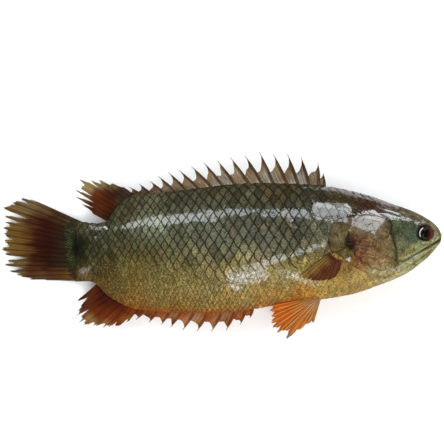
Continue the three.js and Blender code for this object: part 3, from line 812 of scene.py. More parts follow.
def cone_along(foot, tip, foot_radius, tip_radius, sides, rings, curve=(0, 0, 0)):
    """A tapered round rod from foot to tip, both in mm, bowed by curve at its middle."""
    let_go()
    bpy.ops.mesh.primitive_cylinder_add(vertices=sides, radius=1, depth=1, location=(0, 0, 0))
    rod = take("rod")
    bpy.ops.object.mode_set(mode="EDIT")
    for cut in range(1, rings):
        bpy.ops.mesh.select_all(action="SELECT")
        bpy.ops.mesh.bisect(plane_co=(0, 0, -0.5 + cut / rings), plane_no=(0, 0, 1))
    bpy.ops.object.mode_set(mode="OBJECT")
    c = corners(rod)
    t = c[:, 2] + 0.5
    foot, tip, curve = np.array(foot, dtype=float), np.array(tip, dtype=float), np.array(curve, dtype=float)
    ahead = (tip - foot) / np.linalg.norm(tip - foot)
    across = np.cross(ahead, (0, 0, 1))
    across /= np.linalg.norm(across)
    up = np.cross(across, ahead)
    radius = foot_radius + (tip_radius - foot_radius) * t
    spots = foot + (tip - foot) * t[:, None] + curve * (4 * t * (1 - t))[:, None]
    spots = spots + (across * (c[:, 0] * radius)[:, None] + up * (c[:, 1] * radius)[:, None])
    set_corners(rod, spots)
    return rod


def cover_teeth(name, side):
    """The teeth of one gill cover, as one piece."""
    rods = []
    for foot_x, foot_y, tip_x, tip_y in TEETH:
        ends = []
        for x, y, rise in ((foot_x, foot_y, 0.45), (tip_x, tip_y, 0.5)):
            height = middle(x) + side * (flank(x, y) + rise)
            ends.append((x, y, max(float(height), 0.3)))
        rods.append(cone_along(ends[0], ends[1], 0.34, 0.05, sides=7, rings=3))
    teeth = join(rods, name)
    face_outwards(teeth)
    smooth(teeth, 60)
    return teeth


teeth_right = cover_teeth("gill_teeth_right", 1)
teeth_left = cover_teeth("gill_teeth_left", -1)
print("teeth", len(TEETH), "on each side")

# %% [markdown]
# The eye is a clear dome over a dark iris. The ball is a sphere flattened a little, set into the socket that
# was pressed into the skin. Its colours come from how far each place is from the middle of the pupil.

# %% The eyes
def eye(name, side):
    """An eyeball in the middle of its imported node, turned to lie in the flank's slope."""
    piece, ball = unit_ball(name, 48, 32)
    low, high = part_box(name.replace("_ball", ""))
    centre = (np.array(low) + np.array(high)) / 2 / MM
    half = (np.array(high) - np.array(low)) / 2 / MM
    slope_x = float(flank(EYE[0] + 0.5, EYE[1]) - flank(EYE[0] - 0.5, EYE[1]))
    spots = ball * half + centre
    spots[:, 2] += side * slope_x * 0.55 * ball[:, 0] * half[0]
    set_corners(piece, spots)
    face_outwards(piece)
    from_pupil = np.hypot(ball[:, 0], ball[:, 1])
    save_floats(piece, "from_pupil", from_pupil)
    save_floats(piece, "towards_snout", ball[:, 0])
    # Where the painted highlight lies: a crescent near the ball's rim, on the tail side and a little up.
    glint = bump(from_pupil - 0.8, 0.09) * step(0.4, 0.66, -0.95 * ball[:, 0] + 0.3 * ball[:, 1])
    save_floats(piece, "glint", glint)
    smooth(piece, 80)
    return piece


eye_right = eye("eye_right_ball", 1)
eye_left = eye("eye_left_ball", -1)

# %% [markdown]
# A fin is a thin web held up by rays. fan() makes one from a list of rays, each a root and a tip. Between two
# rays it lays narrow columns, and its surface rises over every ray and, further out, over the branches that a
# soft ray splits into. Tips are frayed: each little branch ends at its own length. A slit cuts the web between
# two rays from the edge inwards, which is how old tears show in a fish's fins.

# %% A fan of soft rays
BRANCHES = 4


def fan(name, rays, rows=28, slits=(), rib=0.16, fray=0.05, notch=0.05, wall=0.22, seed=1, ripple=0.0, lay=None):
    """rays: list of (root, tip) in mm, each (x, y, z). slits: {index of the ray before it: (depth, width)}."""
    draw = np.random.default_rng(seed)
    slits = dict(slits)
    roots = np.array([r[0] for r in rays], dtype=float)
    tips = np.array([r[1] for r in rays], dtype=float)
    count = len(rays)
    cuts = [0] + [i + 0.5 for i in sorted(slits)] + [count - 1]
    lobes = []
    for start, end in zip(cuts, cuts[1:]):
        columns = max(2, int(round((end - start) * BRANCHES * 2)))
        lobe, c = unit_grid(name, columns, rows)
        place = start + (c[:, 0] + 1) / 2 * (end - start)
        out = (c[:, 1] + 1) / 2
        i = np.clip(place.astype(int), 0, count - 2)
        f = (place - i)[:, None]
        root = roots[i] * (1 - f) + roots[i + 1] * f
        tip = tips[i] * (1 - f) + tips[i + 1] * f
        wave = place * BRANCHES
        strand = np.round(wave).astype(int)
        lengths = 1 + fray * draw.normal(0, 1, count * BRANCHES + 2)
        between = np.abs(place - np.round(place)) * 2
        length = lengths[strand] - notch * between**1.5
        length = length - 0.6 * fray * (np.abs(wave - strand) * 2)
        spots = root + (tip - root) * (out * length)[:, None]
        for cut in slits:
            depth, width = slits[cut]
            near = np.abs(place - (cut + 0.5)) < 0.51
            opened = width * step(1 - depth, 1, out) * (1 - 2 * np.abs(place - (cut + 0.5))) * near
            away = np.sign(place - (cut + 0.5))
            away = np.where(np.abs(place - (cut + 0.5)) < 1e-6, 1 if start >= cut else -1, away)
            along_edge = tips[min(cut + 1, count - 1)] - tips[cut]
            along_edge = along_edge / max(np.linalg.norm(along_edge), 1e-6)
            spots = spots + along_edge * (opened * away)[:, None]
        ridge = np.cos(place * 2 * math.pi) * 0.5 + 0.5
        branch = np.cos(place * BRANCHES * 2 * math.pi) * 0.5 + 0.5
        split = step(0.25, 0.7, out)
        lift = rib * ((ridge**2) * (1 - 0.7 * split) + 0.6 * branch * split) * (1 - 0.5 * out)
        lift = lift + ripple * np.sin(place * 1.7 + out * 5) * out
        spots[:, 2] += lift
        if lay is not None:
            spots = lay(spots, lift)
        set_corners(lobe, spots)
        save_floats(lobe, "ray", place)
        save_floats(lobe, "out", out)
        thicken(lobe, wall)
        lobes.append(lobe)
    piece = join(lobes, name)
    smooth(piece, 60)
    return piece


def finish_fin(piece, dabs, stray=0.0):
    """Keeps a fin above the table and stores its colours, which stray a little along the rays."""
    c = keep_above_table(piece)
    shift = stray * (np.sin(1.3 * c[:, 1] + 1) + 0.8 * np.sin(3.1 * c[:, 1]) + 0.7 * np.sin(7.7 * c[:, 1] + 2))
    save_colours(piece, "paint", paint(c[:, 0] + shift, c[:, 1], dabs))
    print(piece.name, len(piece.data.polygons), "faces")


# %% [markdown]
# The tail fin fans out from the end of the body and sinks to the table. Its middle is a deep red-brown, its
# outer third is tan where light comes through, and its edge is frayed and torn in six places.

# %% The tail fin
TAIL_EDGE = [
    (-77.5, 19.0), (-82.4, 20.0), (-86.0, 18.2), (-89.0, 15.6), (-90.0, 12.4), (-89.6, 9.8), (-90.0, 7.4),
    (-90.1, 4.6),
    (-90.0, 1.6), (-90.0, -1.4), (-89.4, -3.6), (-88.6, -6.0), (-89.0, -8.0), (-87.4, -10.4), (-83.4, -12.6),
    (-78.0, -13.8), (-71.0, -14.1),
]
tail_rays = []
for i, (tip_x, tip_y) in enumerate(TAIL_EDGE):
    share = i / (len(TAIL_EDGE) - 1)
    root_y = 9.7 - 24.3 * share
    root_x = -56.5 + 1.0 * math.sin(math.pi * share)
    tail_rays.append(((root_x, root_y, float(middle(-59))), (tip_x, tip_y, 0.55)))
tail = fan(
    "tail_fin_rays", tail_rays, rows=40, rib=0.13, fray=0.03, notch=0.085, wall=0.3, seed=3, ripple=0.15,
    slits={1: (0.12, 0.4), 3: (0.3, 0.8), 4: (0.14, 0.7), 7: (0.1, 0.4), 10: (0.24, 1.0), 12: (0.16, 0.8)},
)
TAIL_DABS = [
    (-61, 2, 2.6, (44, 46, 28)), (-61, -6, 2.6, (46, 46, 28)), (-60.5, 8, 2.2, (60, 60, 40)),
    (-59, 11, 1.6, (64, 50, 36)),
    (-71, 3, 4.6, (44, 15, 7)), (-71, -5, 4.6, (38, 14, 6)), (-71, 9, 4, (50, 18, 8)), (-66, 12.5, 2.4, (66, 42, 25)),
    (-72, 15.4, 2.2, (88, 64, 40)), (-79, 17, 3, (104, 84, 52)), (-76.5, 3, 2.6, (52, 20, 9)),
    (-76, -5, 2.6, (50, 20, 9)), (-79.6, 4, 2, (88, 56, 24)), (-79.6, -3, 2, (88, 56, 24)),
    (-84, 5, 3.4, (98, 72, 32)), (-84, 11, 3, (108, 84, 44)), (-84, -2.5, 3.2, (100, 74, 34)),
    (-90, 1, 2.4, (116, 94, 54)),
    (-90, 12, 2.4, (116, 95, 58)), (-76, -10, 3, (72, 40, 21)), (-75, -13.4, 2, (84, 58, 34)),
    (-85, -8, 3, (100, 80, 48)),
    (-67, -13, 2.6, (80, 48, 25)), (-62, -13.4, 2, (98, 66, 36)), (-66, -5, 3, (42, 28, 15)),
    (-66, 5, 3, (42, 28, 15)),
    (-78, 10, 2.6, (66, 38, 20)),
]
finish_fin(tail, TAIL_DABS, 0.8)

# %% [markdown]
# The scales of the flank run on over the root of the tail fin as ever smaller, narrow ones that follow its rays,
# like the teeth of a comb. They use the same scale, laid along the rays instead of along the skin.

# %% Scales on the root of the tail fin
COMB_COLUMNS, COMB_ROWS = 26, 9
comb_roots = np.array([root for root, _ in tail_rays])
comb_tips = np.array([tip for _, tip in tail_rays])


def on_tail(across, out):
    """The tail fin's middle sheet: across from 0 at its top ray to 1 at its lowest, out from 0 to 1."""
    ray = np.clip(across, 0, 1) * (len(tail_rays) - 1)
    knots = np.arange(len(tail_rays))
    root = np.stack([np.interp(ray, knots, comb_roots[:, k]) for k in range(3)], axis=-1)
    tip = np.stack([np.interp(ray, knots, comb_tips[:, k]) for k in range(3)], axis=-1)
    return root + (tip - root) * out[:, None]


def tail_scales(name, side):
    """The comb of small scales on the upper face of the tail fin's root (side 1) or the lower (side -1)."""
    draw = np.random.default_rng(31 if side > 0 else 32)
    u, v, under = template[:, 0], (template[:, 1] + 1) / 2, template[:, 2] < -0.5
    spots, faces, tints = [], [], []
    for row in range(COMB_ROWS):
        for column in range(COMB_COLUMNS + 1):
            centre = (column + 0.5 * (row % 2)) / COMB_COLUMNS
            reach = 0.25 - 0.05 * (2 * centre - 1) ** 2 + 0.035 * (column % 2) + 0.015 * draw.normal()
            free_edge = 0.035 + 0.028 * row
            if centre > 1 or free_edge > reach:
                continue
            narrow = 1 - 0.5 * row / COMB_ROWS
            out = free_edge - (1 - v) * 0.058 - 0.02 * np.abs(u) ** 1.7
            place = on_tail(centre + u * 0.55 * narrow / COMB_COLUMNS, out)
            lift = 0.26 + 0.16 * v + 0.1 * (1 - u**2) - 0.34 * (1 - v)
            place[:, 2] += side * np.where(under, lift - 0.2, lift)
            faces += [tuple(c + len(spots) * len(template) for c in face) for face in template_faces]
            spots.append(place)
            tints.append(draw.normal(1, 0.16) * (1 - 0.45 * row / COMB_ROWS))
    places = np.concatenate(spots)
    piece = piece_from(name, places, faces)
    face_outwards(piece)
    colour = paint(places[:, 0], places[:, 1], COMB_DABS)
    colour = colour * np.clip(np.repeat(tints, len(template)), 0.4, 1.5)[:, None]
    save_scales(piece, places, colour, u, v, np.ones(len(places)), np.zeros(len(places)))
    return piece


COMB_DABS = [
    (-58, 8, 2.5, (84, 76, 54)), (-58, 3.4, 1.4, (40, 44, 26)), (-58.4, -0.6, 1.5, (10, 12, 6)),
    (-58.5, -6.4, 2.2, (66, 74, 44)),
    (-59, -3.2, 1.2, (18, 20, 11)), (-59, 2, 1.2, (22, 26, 14)), (-59.9, -0.6, 1, (14, 16, 8)),
    (-60.2, 4.4, 1, (56, 60, 38)),
    (-60.2, -6, 1, (60, 66, 40)),
    (-58, -11.5, 2, (80, 56, 34)), (-61.8, 5, 1.8, (84, 92, 56)), (-62.6, 0, 1.6, (88, 100, 58)),
    (-62, -5, 1.8, (90, 98, 58)),
    (-61, 9, 1.8, (70, 60, 40)), (-61, -10, 2, (78, 68, 40)), (-66, 2, 2.2, (58, 52, 30)),
    (-66, -5, 2.2, (60, 54, 30)),
]
comb = join([tail_scales("tail_scales_upper", 1), tail_scales("tail_scales_lower", -1)], "tail_scales")
keep_above_table(comb)

# %% [markdown]
# The rear of the dorsal fin and of the anal fin have soft rays too. Both are short fans that sweep back over the
# tail root, dark red-brown with tan tips.

# %% Soft parts of the dorsal and anal fins
def edge_of(line, x):
    """A point on the back's or the belly's ridge, just under the skin."""
    inward = -0.5 if line is back else 0.5
    return (x, float(line(x)) + inward, float(middle(x)))


DORSAL_SOFT = [
    (-34.6, (-40.0, 24.3)), (-36.8, (-44.2, 25.4)), (-38.6, (-48.6, 26.5)), (-39.8, (-52.0, 26.6)),
    (-41.0, (-56.1, 26.3)),
    (-42.2, (-57.9, 24.4)), (-43.2, (-58.3, 22.4)), (-44.2, (-58.3, 19.6)), (-45.2, (-56.2, 16.4)),
    (-46.4, (-52.0, 13.0)),
]
SOFT_DORSAL_DABS = [
    (-38, 21.5, 2, (58, 46, 36)), (-43, 22, 2.6, (46, 24, 13)), (-46, 20, 3, (60, 27, 11)),
    (-49, 17, 3, (80, 36, 12)),
    (-46, 14, 2.4, (54, 26, 12)), (-44, 25, 1.8, (96, 78, 52)), (-50, 25.6, 2, (124, 106, 72)),
    (-54.5, 24.6, 2.4, (136, 116, 78)),
    (-57, 20, 2.2, (104, 78, 48)), (-50, 21.5, 2, (84, 38, 14)), (-54, 16, 2, (66, 36, 18)),
    (-41, 18.5, 1.6, (58, 46, 34)),
]
ANAL_SOFT = [
    (-33.4, (-37.4, -30.6)), (-35.6, (-42.2, -33.0)), (-38.0, (-46.8, -33.3)), (-40.4, (-51.4, -33.3)),
    (-42.8, (-55.6, -32.2)),
    (-45.0, (-58.7, -31.0)), (-46.8, (-58.9, -28.0)), (-48.4, (-57.0, -24.6)), (-49.6, (-59.4, -22.9)),
    (-50.6, (-53.0, -17.6)),
]
SOFT_ANAL_DABS = [
    (-38, -26, 3, (90, 34, 11)), (-44, -24, 3.4, (66, 22, 7)), (-49, -22, 3, (58, 20, 7)),
    (-54, -21, 2.6, (84, 38, 18)),
    (-50, -27, 3, (92, 38, 11)), (-44, -29, 3, (104, 46, 15)), (-47, -32.4, 1.6, (122, 88, 46)),
    (-54, -31, 2, (128, 96, 56)),
    (-57.6, -29, 1.6, (98, 62, 34)), (-38, -30.4, 1.6, (124, 76, 32)), (-58, -23, 1.6, (70, 34, 20)),
    (-36, -26, 1.6, (118, 56, 18)),
]


def soft_part(name, line, rays, dabs, seed, slits):
    """The soft part of a fin. Each ray is given by the x of its root on the ridge, and by its tip."""
    ends = []
    for root_x, (tip_x, tip_y) in rays:
        root = edge_of(line, root_x)
        ends.append((root, (tip_x, tip_y, root[2] - 0.7)))
    piece = fan(name, ends, rows=26, rib=0.13, fray=0.05, notch=0.11, wall=0.26, seed=seed, ripple=0.3, slits=slits)
    finish_fin(piece, dabs)
    return piece


dorsal_soft = soft_part(
    "dorsal_soft_rays", back, DORSAL_SOFT, SOFT_DORSAL_DABS, 5,
    {3: (0.28, 0.5), 5: (0.36, 0.5), 6: (0.4, 0.6), 7: (0.34, 0.7)},
)
anal_soft = soft_part(
    "anal_soft_rays", belly, ANAL_SOFT, SOFT_ANAL_DABS, 6,
    {0: (0.25, 0.4), 1: (0.2, 0.4), 5: (0.3, 0.5), 7: (0.34, 0.8)},
)

# %% [markdown]
# The front of both fins is a saw of hard spines. A web hangs between them: it is fixed high on the rear of each
# spine and falls to the foot of the next, which leaves a deep notch behind every spine. The spines are tapered
# rods, bowed a little, and the webs thin rippled sheets.

# %% Spines and webs
DORSAL_SPINES = [
    (42.2, 41.8, 29.7), (39.9, 39.7, 33.9), (36.3, 32.7, 36.4), (31.8, 27.3, 37.4), (27.4, 21.4, 37.6),
    (21.8, 15.8, 38.3),
    (17.3, 9.9, 36.9), (12.0, 3.9, 36.2), (6.3, -1.3, 34.8), (1.3, -7.0, 34.2), (-3.2, -11.9, 32.5),
    (-8.5, -17.1, 31.0),
    (-13.5, -21.3, 30.0), (-18.0, -25.5, 28.5), (-22.6, -28.8, 26.4), (-28.0, -33.4, 25.4), (-32.2, -37.6, 24.2),
]
ANAL_SPINES = [
    (13.0, 12.1, -29.2), (10.4, 8.0, -32.0), (6.4, 2.3, -34.3), (1.0, -3.8, -34.9), (-4.6, -9.7, -34.8),
    (-10.4, -15.5, -34.3),
    (-15.6, -20.5, -33.2), (-20.2, -24.3, -32.1), (-25.2, -29.4, -31.3), (-30.2, -34.7, -30.2),
]


SPINE_BOW = (0.35, 0, 0)
WEB_HIGH = 0.88  # where the web starts on a spine, as a share of its length


def spine_ends(line, spines):
    """The foot and the tip of each spine."""
    ends = []
    for foot_x, tip_x, tip_y in spines:
        foot = np.array(edge_of(line, foot_x))
        ends.append((foot, np.array([tip_x, tip_y, foot[2] + 0.4])))
    return ends


def spines_of(name, ends, foot_radius):
    """All of a fin's spines as one piece. Each is a little thinner than the one in front of it."""
    piece = join([
        cone_along(foot, tip, foot_radius * (1 - 0.02 * i), 0.1, sides=9, rings=7, curve=SPINE_BOW)
        for i, (foot, tip) in enumerate(ends)
    ], name)
    c = corners(piece) / MM
    feet = np.array([foot for foot, _ in ends])
    tips = np.array([tip for _, tip in ends])
    per_rod = len(c) // len(ends)
    rod = np.arange(len(c)) // per_rod
    reach = np.linalg.norm(tips - feet, axis=1)[rod]
    save_floats(piece, "out", np.clip(np.linalg.norm(c - feet[rod], axis=1) / reach, 0, 1))
    face_outwards(piece)
    smooth(piece, 60)
    print(name, len(ends), "spines")
    return piece


def webs_of(name, ends, last, seed, low):
    """last: (root, tip) that the web behind the last spine ends on. low: where each web ends, as WEB_HIGH."""
    draw = np.random.default_rng(seed)
    sheets = []
    for i, ((foot, tip), (next_foot, next_tip)) in enumerate(zip(ends, ends[1:] + [last])):
        web, c = unit_grid(name, 10, 12)
        across, out = (c[:, 0] + 1) / 2, (c[:, 1] + 1) / 2
        top = WEB_HIGH + (low - WEB_HIGH) * across**0.62 - 0.06 * np.sin(math.pi * across)
        top = top + 0.02 * draw.normal() * np.sin(3 * math.pi * across)
        foot_here = foot + (next_foot - foot) * across[:, None]
        reach_here = (tip - foot) + ((next_tip - next_foot) - (tip - foot)) * across[:, None]
        spots = foot_here + reach_here * (top * out)[:, None]
        spots[:, 2] += 0.5 * np.sin(math.pi * across) * (draw.uniform(-1, 1) * 0.6 + np.sin(5 * out + i)) * out
        set_corners(web, spots)
        save_floats(web, "ray", i + across)
        save_floats(web, "out", out)
        thicken(web, 0.2)
        sheets.append(web)
    piece = join(sheets, name)
    smooth(piece, 60)
    return piece


def pale_root(piece, gain):
    """Lightens the lowest part of a web, where it is thick and the skin of the back runs up into it."""
    colour = np.empty(len(piece.data.vertices) * 4)
    out = np.empty(len(piece.data.vertices))
    piece.data.attributes["paint"].data.foreach_get("color", colour)
    piece.data.attributes["out"].data.foreach_get("value", out)
    colour = colour.reshape(-1, 4)
    colour[:, :3] *= (1 + gain * (1 - step(0.1, 0.3, out)))[:, None]
    piece.data.attributes["paint"].data.foreach_set("color", colour.ravel())


dorsal_ends = spine_ends(back, DORSAL_SPINES)
dorsal_spines = spines_of("dorsal_spines", dorsal_ends, 0.8)
first_soft = (np.array(edge_of(back, -34.6)), np.array([-40.0, 24.3, float(middle(-36)) - 0.5]))
dorsal_web = webs_of("dorsal_web", dorsal_ends, first_soft, 21, 0.38)
DORSAL_DABS = [
    (38, 28, 4, (124, 104, 84)), (25, 29, 5, (128, 106, 82)), (10, 29, 5, (138, 116, 92)),
    (-5, 28, 5, (142, 118, 90)),
    (-20, 25, 4, (118, 100, 78)), (-32, 23, 3, (100, 78, 60)), (20, 26, 2.6, (148, 140, 126)),
    (0, 25.6, 2.6, (144, 132, 116)),
    (30, 34, 3, (84, 60, 40)), (12, 34, 3, (92, 66, 44)), (-8, 31, 3, (104, 78, 52)), (32, 26, 2.4, (148, 140, 128)),
]
finish_fin(dorsal_web, DORSAL_DABS)
pale_root(dorsal_web, 0.9)

anal_ends = spine_ends(belly, ANAL_SPINES)
anal_spines = spines_of("anal_spines", anal_ends, 0.72)
first_soft = (np.array(edge_of(belly, -33.4)), np.array([-37.4, -30.6, float(middle(-34)) - 0.5]))
anal_web = webs_of("anal_web", anal_ends, first_soft, 22, 0.5)
ANAL_DABS = [
    (10, -28, 3, (146, 84, 44)), (0, -30, 4, (150, 106, 70)), (-12, -30, 4, (160, 124, 88)),
    (-22, -29, 4, (148, 102, 64)),
    (-32, -28, 3, (116, 60, 28)), (-5, -27.6, 2, (164, 84, 38)), (-15, -27.6, 2, (158, 84, 40)),
    (-8, -33, 2, (122, 68, 34)),
    (-20, -32, 2, (112, 60, 28)), (4, -32, 2, (128, 70, 34)), (-24, -27.4, 2, (142, 72, 32)),
]
finish_fin(anal_web, ANAL_DABS)
pale_root(anal_web, 0.25)

# %% [markdown]
# The pelvic fins hang under the throat, bright orange with pale rays. Each is a fan of twelve rays hung from the
# ridge of the belly, and the two lean a little apart.

# %% The pelvic fins
PELVIC_TIPS = [
    (37.9, -31.2), (35.6, -31.4), (32.6, -33.8), (27.3, -37.5), (25.6, -34.4), (23.2, -35.3), (21.4, -33.4),
    (20.8, -31.0),
    (20.9, -28.6), (20.5, -26.4), (20.6, -24.4), (23.6, -22.8),
]
PELVIC_DABS = [
    (38, -24, 3, (164, 114, 66)), (37, -28, 2.4, (162, 102, 46)), (32, -24, 3, (166, 98, 38)),
    (33, -30, 3, (168, 96, 38)),
    (29, -34, 2.4, (160, 92, 36)), (27.6, -37, 1.2, (96, 72, 50)), (25, -28, 4, (170, 84, 24)),
    (22, -32, 2.4, (158, 80, 26)),
    (21, -27, 2, (178, 84, 20)), (20.6, -35, 1.6, (130, 90, 56)), (27, -23, 2.4, (186, 96, 36)),
    (38, -31.4, 1.2, (120, 90, 66)),
]


def pelvic_fin(name, side):
    """The pelvic fin of one side, hung from the ridge of the belly."""
    rays = []
    for i, (tip_x, tip_y) in enumerate(PELVIC_TIPS):
        share = i / (len(PELVIC_TIPS) - 1)
        root_x = 41.0 - 5.0 * share**1.6
        root = (root_x, float(belly(root_x)) + 0.8, float(middle(root_x)) + side * 2.7)
        rays.append((root, (tip_x, tip_y, root[2] + side * 1.6)))
    piece = fan(
        name, rays, rows=26, rib=0.3, fray=0.02, notch=0.09, wall=0.24, seed=8 + side, ripple=0.35,
        slits={3: (0.2, 0.3), 5: (0.16, 0.4), 8: (0.1, 0.3)},
    )
    finish_fin(piece, PELVIC_DABS)
    return piece


pelvic_right = pelvic_fin("pelvic_fin_right_rays", 1)
pelvic_left = pelvic_fin("pelvic_fin_left_rays", -1)

# %% [markdown]
# The pectoral fins lie folded against the flanks, so their fans are laid over the skin instead of standing free.

# %% The pectoral fins
PECTORAL_RAYS = [
    ((43.8, -2.6), (32.0, -11.9)), ((44.4, -3.0), (33.4, -12.7)), ((44.9, -3.5), (35.2, -13.4)),
    ((45.4, -4.0), (37.2, -13.8)),
    ((45.9, -4.5), (39.4, -14.0)), ((46.4, -5.0), (41.6, -13.9)), ((46.9, -5.3), (44.0, -13.6)),
    ((47.9, -5.6), (46.4, -12.4)),
    ((48.8, -5.8), (48.2, -9.6)),
]
PECTORAL_DABS = [
    (45.6, -4.2, 1.6, (84, 44, 30)), (42, -6.6, 1.6, (122, 92, 46)), (38, -9.0, 1.6, (128, 98, 50)),
    (39, -12, 2.6, (84, 44, 18)),
    (43.5, -11, 2.4, (86, 44, 22)), (33, -11.6, 1.6, (132, 98, 48)), (46.4, -8, 2, (88, 48, 30)),
    (42.5, -8.8, 1.6, (82, 42, 20)),
]


def pectoral_fin(name, side):
    """The pectoral fin of one side, folded back over the flank."""

    def lay(spots, lift):
        """Puts the fan's corners just outside the skin."""
        x, y = spots[:, 0], spots[:, 1]
        stand = flank(x, y) + 0.62 + lift
        laid = spots.copy()
        laid[:, 2] = middle(x) + side * np.minimum(stand, middle(x) + 30 if side > 0 else middle(x) - 0.15)
        return laid

    rays = [((*root, 0.0), (*tip, 0.0)) for root, tip in PECTORAL_RAYS]
    piece = fan(name, rays, rows=22, rib=0.3, fray=0.02, notch=0.03, wall=0.24, seed=9, lay=lay)
    finish_fin(piece, PECTORAL_DABS)
    return piece


pectoral_right = pectoral_fin("pectoral_fin_right_rays", 1)
pectoral_left = pectoral_fin("pectoral_fin_left_rays", -1)

# %% [markdown]
# Materials. A wet fish shines twice: its skin is slightly rough, and the film of water on it is mirror smooth.
# That is what a coat is for. The base colour of every material is the paint stored on the mesh, broken up by
# noise at several scales, as pigment cells are.

# %% Material helpers
def new_material(name, **sockets):
    """A material and its shader, with the shader's sockets set."""
    made = bpy.data.materials.new(name)
    made.use_nodes = True
    shader = made.node_tree.nodes["Principled BSDF"]
    shader.inputs["Specular IOR Level"].default_value = 0.02
    for socket, value in sockets.items():
        shader.inputs[socket.replace("_", " ")].default_value = value
    return made, shader


def node(made, kind, settings=None, **inputs):
    """Adds a node. An input takes a number, a colour or another node's output."""
    added = made.node_tree.nodes.new(kind)
    for name, value in (settings or {}).items():
        setattr(added, name, value)
    for name, value in inputs.items():
        socket = added.inputs[int(name[1:])] if name[1:].isdigit() else added.inputs[name.replace("_", " ")]
        if isinstance(value, bpy.types.NodeSocket):
            made.node_tree.links.new(value, socket)
        else:
            socket.default_value = value
    return added


def link(made, output, socket):
    """Feeds a node's output to a socket."""
    made.node_tree.links.new(output, socket)


def mixed(made, share, a, b, blend="MIX"):
    """Two colours mixed: all of a where share is 0, all of b where it is 1."""
    settings = {"data_type": "RGBA", "blend_type": blend, "clamp_factor": True}
    return node(made, "ShaderNodeMix", settings, _0=share, _6=a, _7=b).outputs[2]


def tinted(made, share, colour, tint):
    """A colour multiplied by a tint of red, green and blue, as far as share says."""
    return mixed(made, share, colour, (*tint, 1), "MULTIPLY")


def sums(made, operation, a, b=0.0, c=0.0):
    """One step of arithmetic."""
    return node(made, "ShaderNodeMath", {"operation": operation}, _0=a, _1=b, _2=c).outputs[0]


def ramp(made, value, low, high, start=0.0, end=1.0):
    """An S-curve from start, where the value is low, to end, where it is high."""
    settings = {"interpolation_type": "SMOOTHSTEP"}
    return node(made, "ShaderNodeMapRange", settings, _0=value, _1=low, _2=high, _3=start, _4=end).outputs[0]


def place_of(made):
    """The place on the object, in metres."""
    return node(made, "ShaderNodeTexCoord").outputs["Object"]


def noise(made, scale, detail=4.0, roughness=0.6, distortion=0.0):
    """Noise with this many lumps to the metre."""
    return node(
        made, "ShaderNodeTexNoise", Vector=place_of(made), Scale=scale, Detail=detail, Roughness=roughness,
        Distortion=distortion,
    ).outputs["Fac"]


def stored(made, name, output="Fac"):
    """What the mesh holds under this name."""
    return node(made, "ShaderNodeAttribute", {"attribute_name": name}).outputs[output]


def bumped(made, shader, height, strength, distance):
    """Roughens the surface without moving it."""
    link(made, node(made, "ShaderNodeBump", Height=height, Strength=strength, Distance=distance).outputs[0],
         shader.inputs["Normal"])


def film_of_water(made, shader, dry):
    """A coat where the water lies, broken into islands and specks as it dries. dry: 1 where water can't lie."""
    wet = sums(made, "SUBTRACT", stored(made, "wet"), 1.85)
    islands = sums(made, "MULTIPLY_ADD", noise(made, 460, 3, 0.6), 1.7, wet)
    ragged = sums(made, "MULTIPLY_ADD", noise(made, 2000, 3, 0.6), 1.9, islands)
    film = ramp(made, ragged, 0.38, 0.48, 0.02, 0.95)
    link(made, sums(made, "MULTIPLY", film, sums(made, "SUBTRACT", 1.0, dry)), shader.inputs["Coat Weight"])


def describe(made):
    """Says how large a material has become."""
    print("material", made.name, "has", len(made.node_tree.nodes), "nodes")


print("white paint reflects", round(DEPTH_OF_PAINT, 2), "of the light")

# %% [markdown]
# What makes a scale read is its outline. Its root lies in the shade of the scales before it, and its free rim is
# edged with dark pigment. Low on the flank the outlines turn brown, with golden specks between them. Fine ribs
# run to the rim.

# %% Scale material
scale_skin, shader = new_material("wet_scales", Roughness=0.45, Coat_Weight=0.9, Coat_Roughness=0.06, Coat_IOR=1.8)
colour = stored(scale_skin, "paint", "Color")
edge = stored(scale_skin, "back_to_edge")
across = sums(scale_skin, "ABSOLUTE", stored(scale_skin, "across"))
grain = noise(scale_skin, 1500, 5, 0.7)
patch = noise(scale_skin, 300, 4, 0.6)
drift = noise(scale_skin, 130, 3, 0.5)
outline = stored(scale_skin, "outline")
gold = stored(scale_skin, "gold")
colour = tinted(scale_skin, ramp(scale_skin, drift, 0.5, 0.66, 0.0, 0.6), colour, (1.08, 0.94, 0.76))
colour = tinted(scale_skin, ramp(scale_skin, patch, 0.52, 0.68, 0.0, 0.6), colour, (1.52, 1.56, 1.7))
colour = tinted(scale_skin, ramp(scale_skin, grain, 0.51, 0.38, 0.0, 0.95), colour, (0.36, 0.34, 0.3))
bare = sums(scale_skin, "SUBTRACT", 1.0, sums(scale_skin, "MAXIMUM", outline, gold))
flecks = ramp(scale_skin, noise(scale_skin, 1100, 4, 0.7, 0.6), 0.52, 0.6, 0.0, 1.0)
flecks = sums(scale_skin, "MULTIPLY", flecks, bare)
colour = tinted(scale_skin, flecks, colour, (2.8, 2.6, 2.6))
pale = ramp(scale_skin, grain, 0.54, 0.66, 0.0, 0.7)
colour = tinted(scale_skin, pale, colour, (1.45, 1.45, 1.5))
speck = sums(scale_skin, "MULTIPLY", ramp(scale_skin, grain, 0.54, 0.66, 0.0, 0.4), gold)
colour = mixed(scale_skin, speck, colour, rgba(206, 178, 104))
ragged = sums(scale_skin, "MULTIPLY_ADD", noise(scale_skin, 900, 5, 0.7), 0.3, edge)
root_dark = ramp(scale_skin, ragged, 0.24, 0.68, 0.85, 0.0)
rim_dark = ramp(scale_skin, ragged, 0.97, 1.1, 0.0, 0.9)
line_colour = mixed(scale_skin, gold, rgba(27, 27, 15), rgba(64, 48, 20))
colour = mixed(scale_skin, sums(scale_skin, "MULTIPLY", root_dark, outline), colour, line_colour)
colour = mixed(scale_skin, sums(scale_skin, "MULTIPLY", rim_dark, outline), colour, line_colour)
colour = tinted(scale_skin, 1.0, colour, (0.98, 0.95, 0.84))
link(scale_skin, colour, shader.inputs["Base Color"])
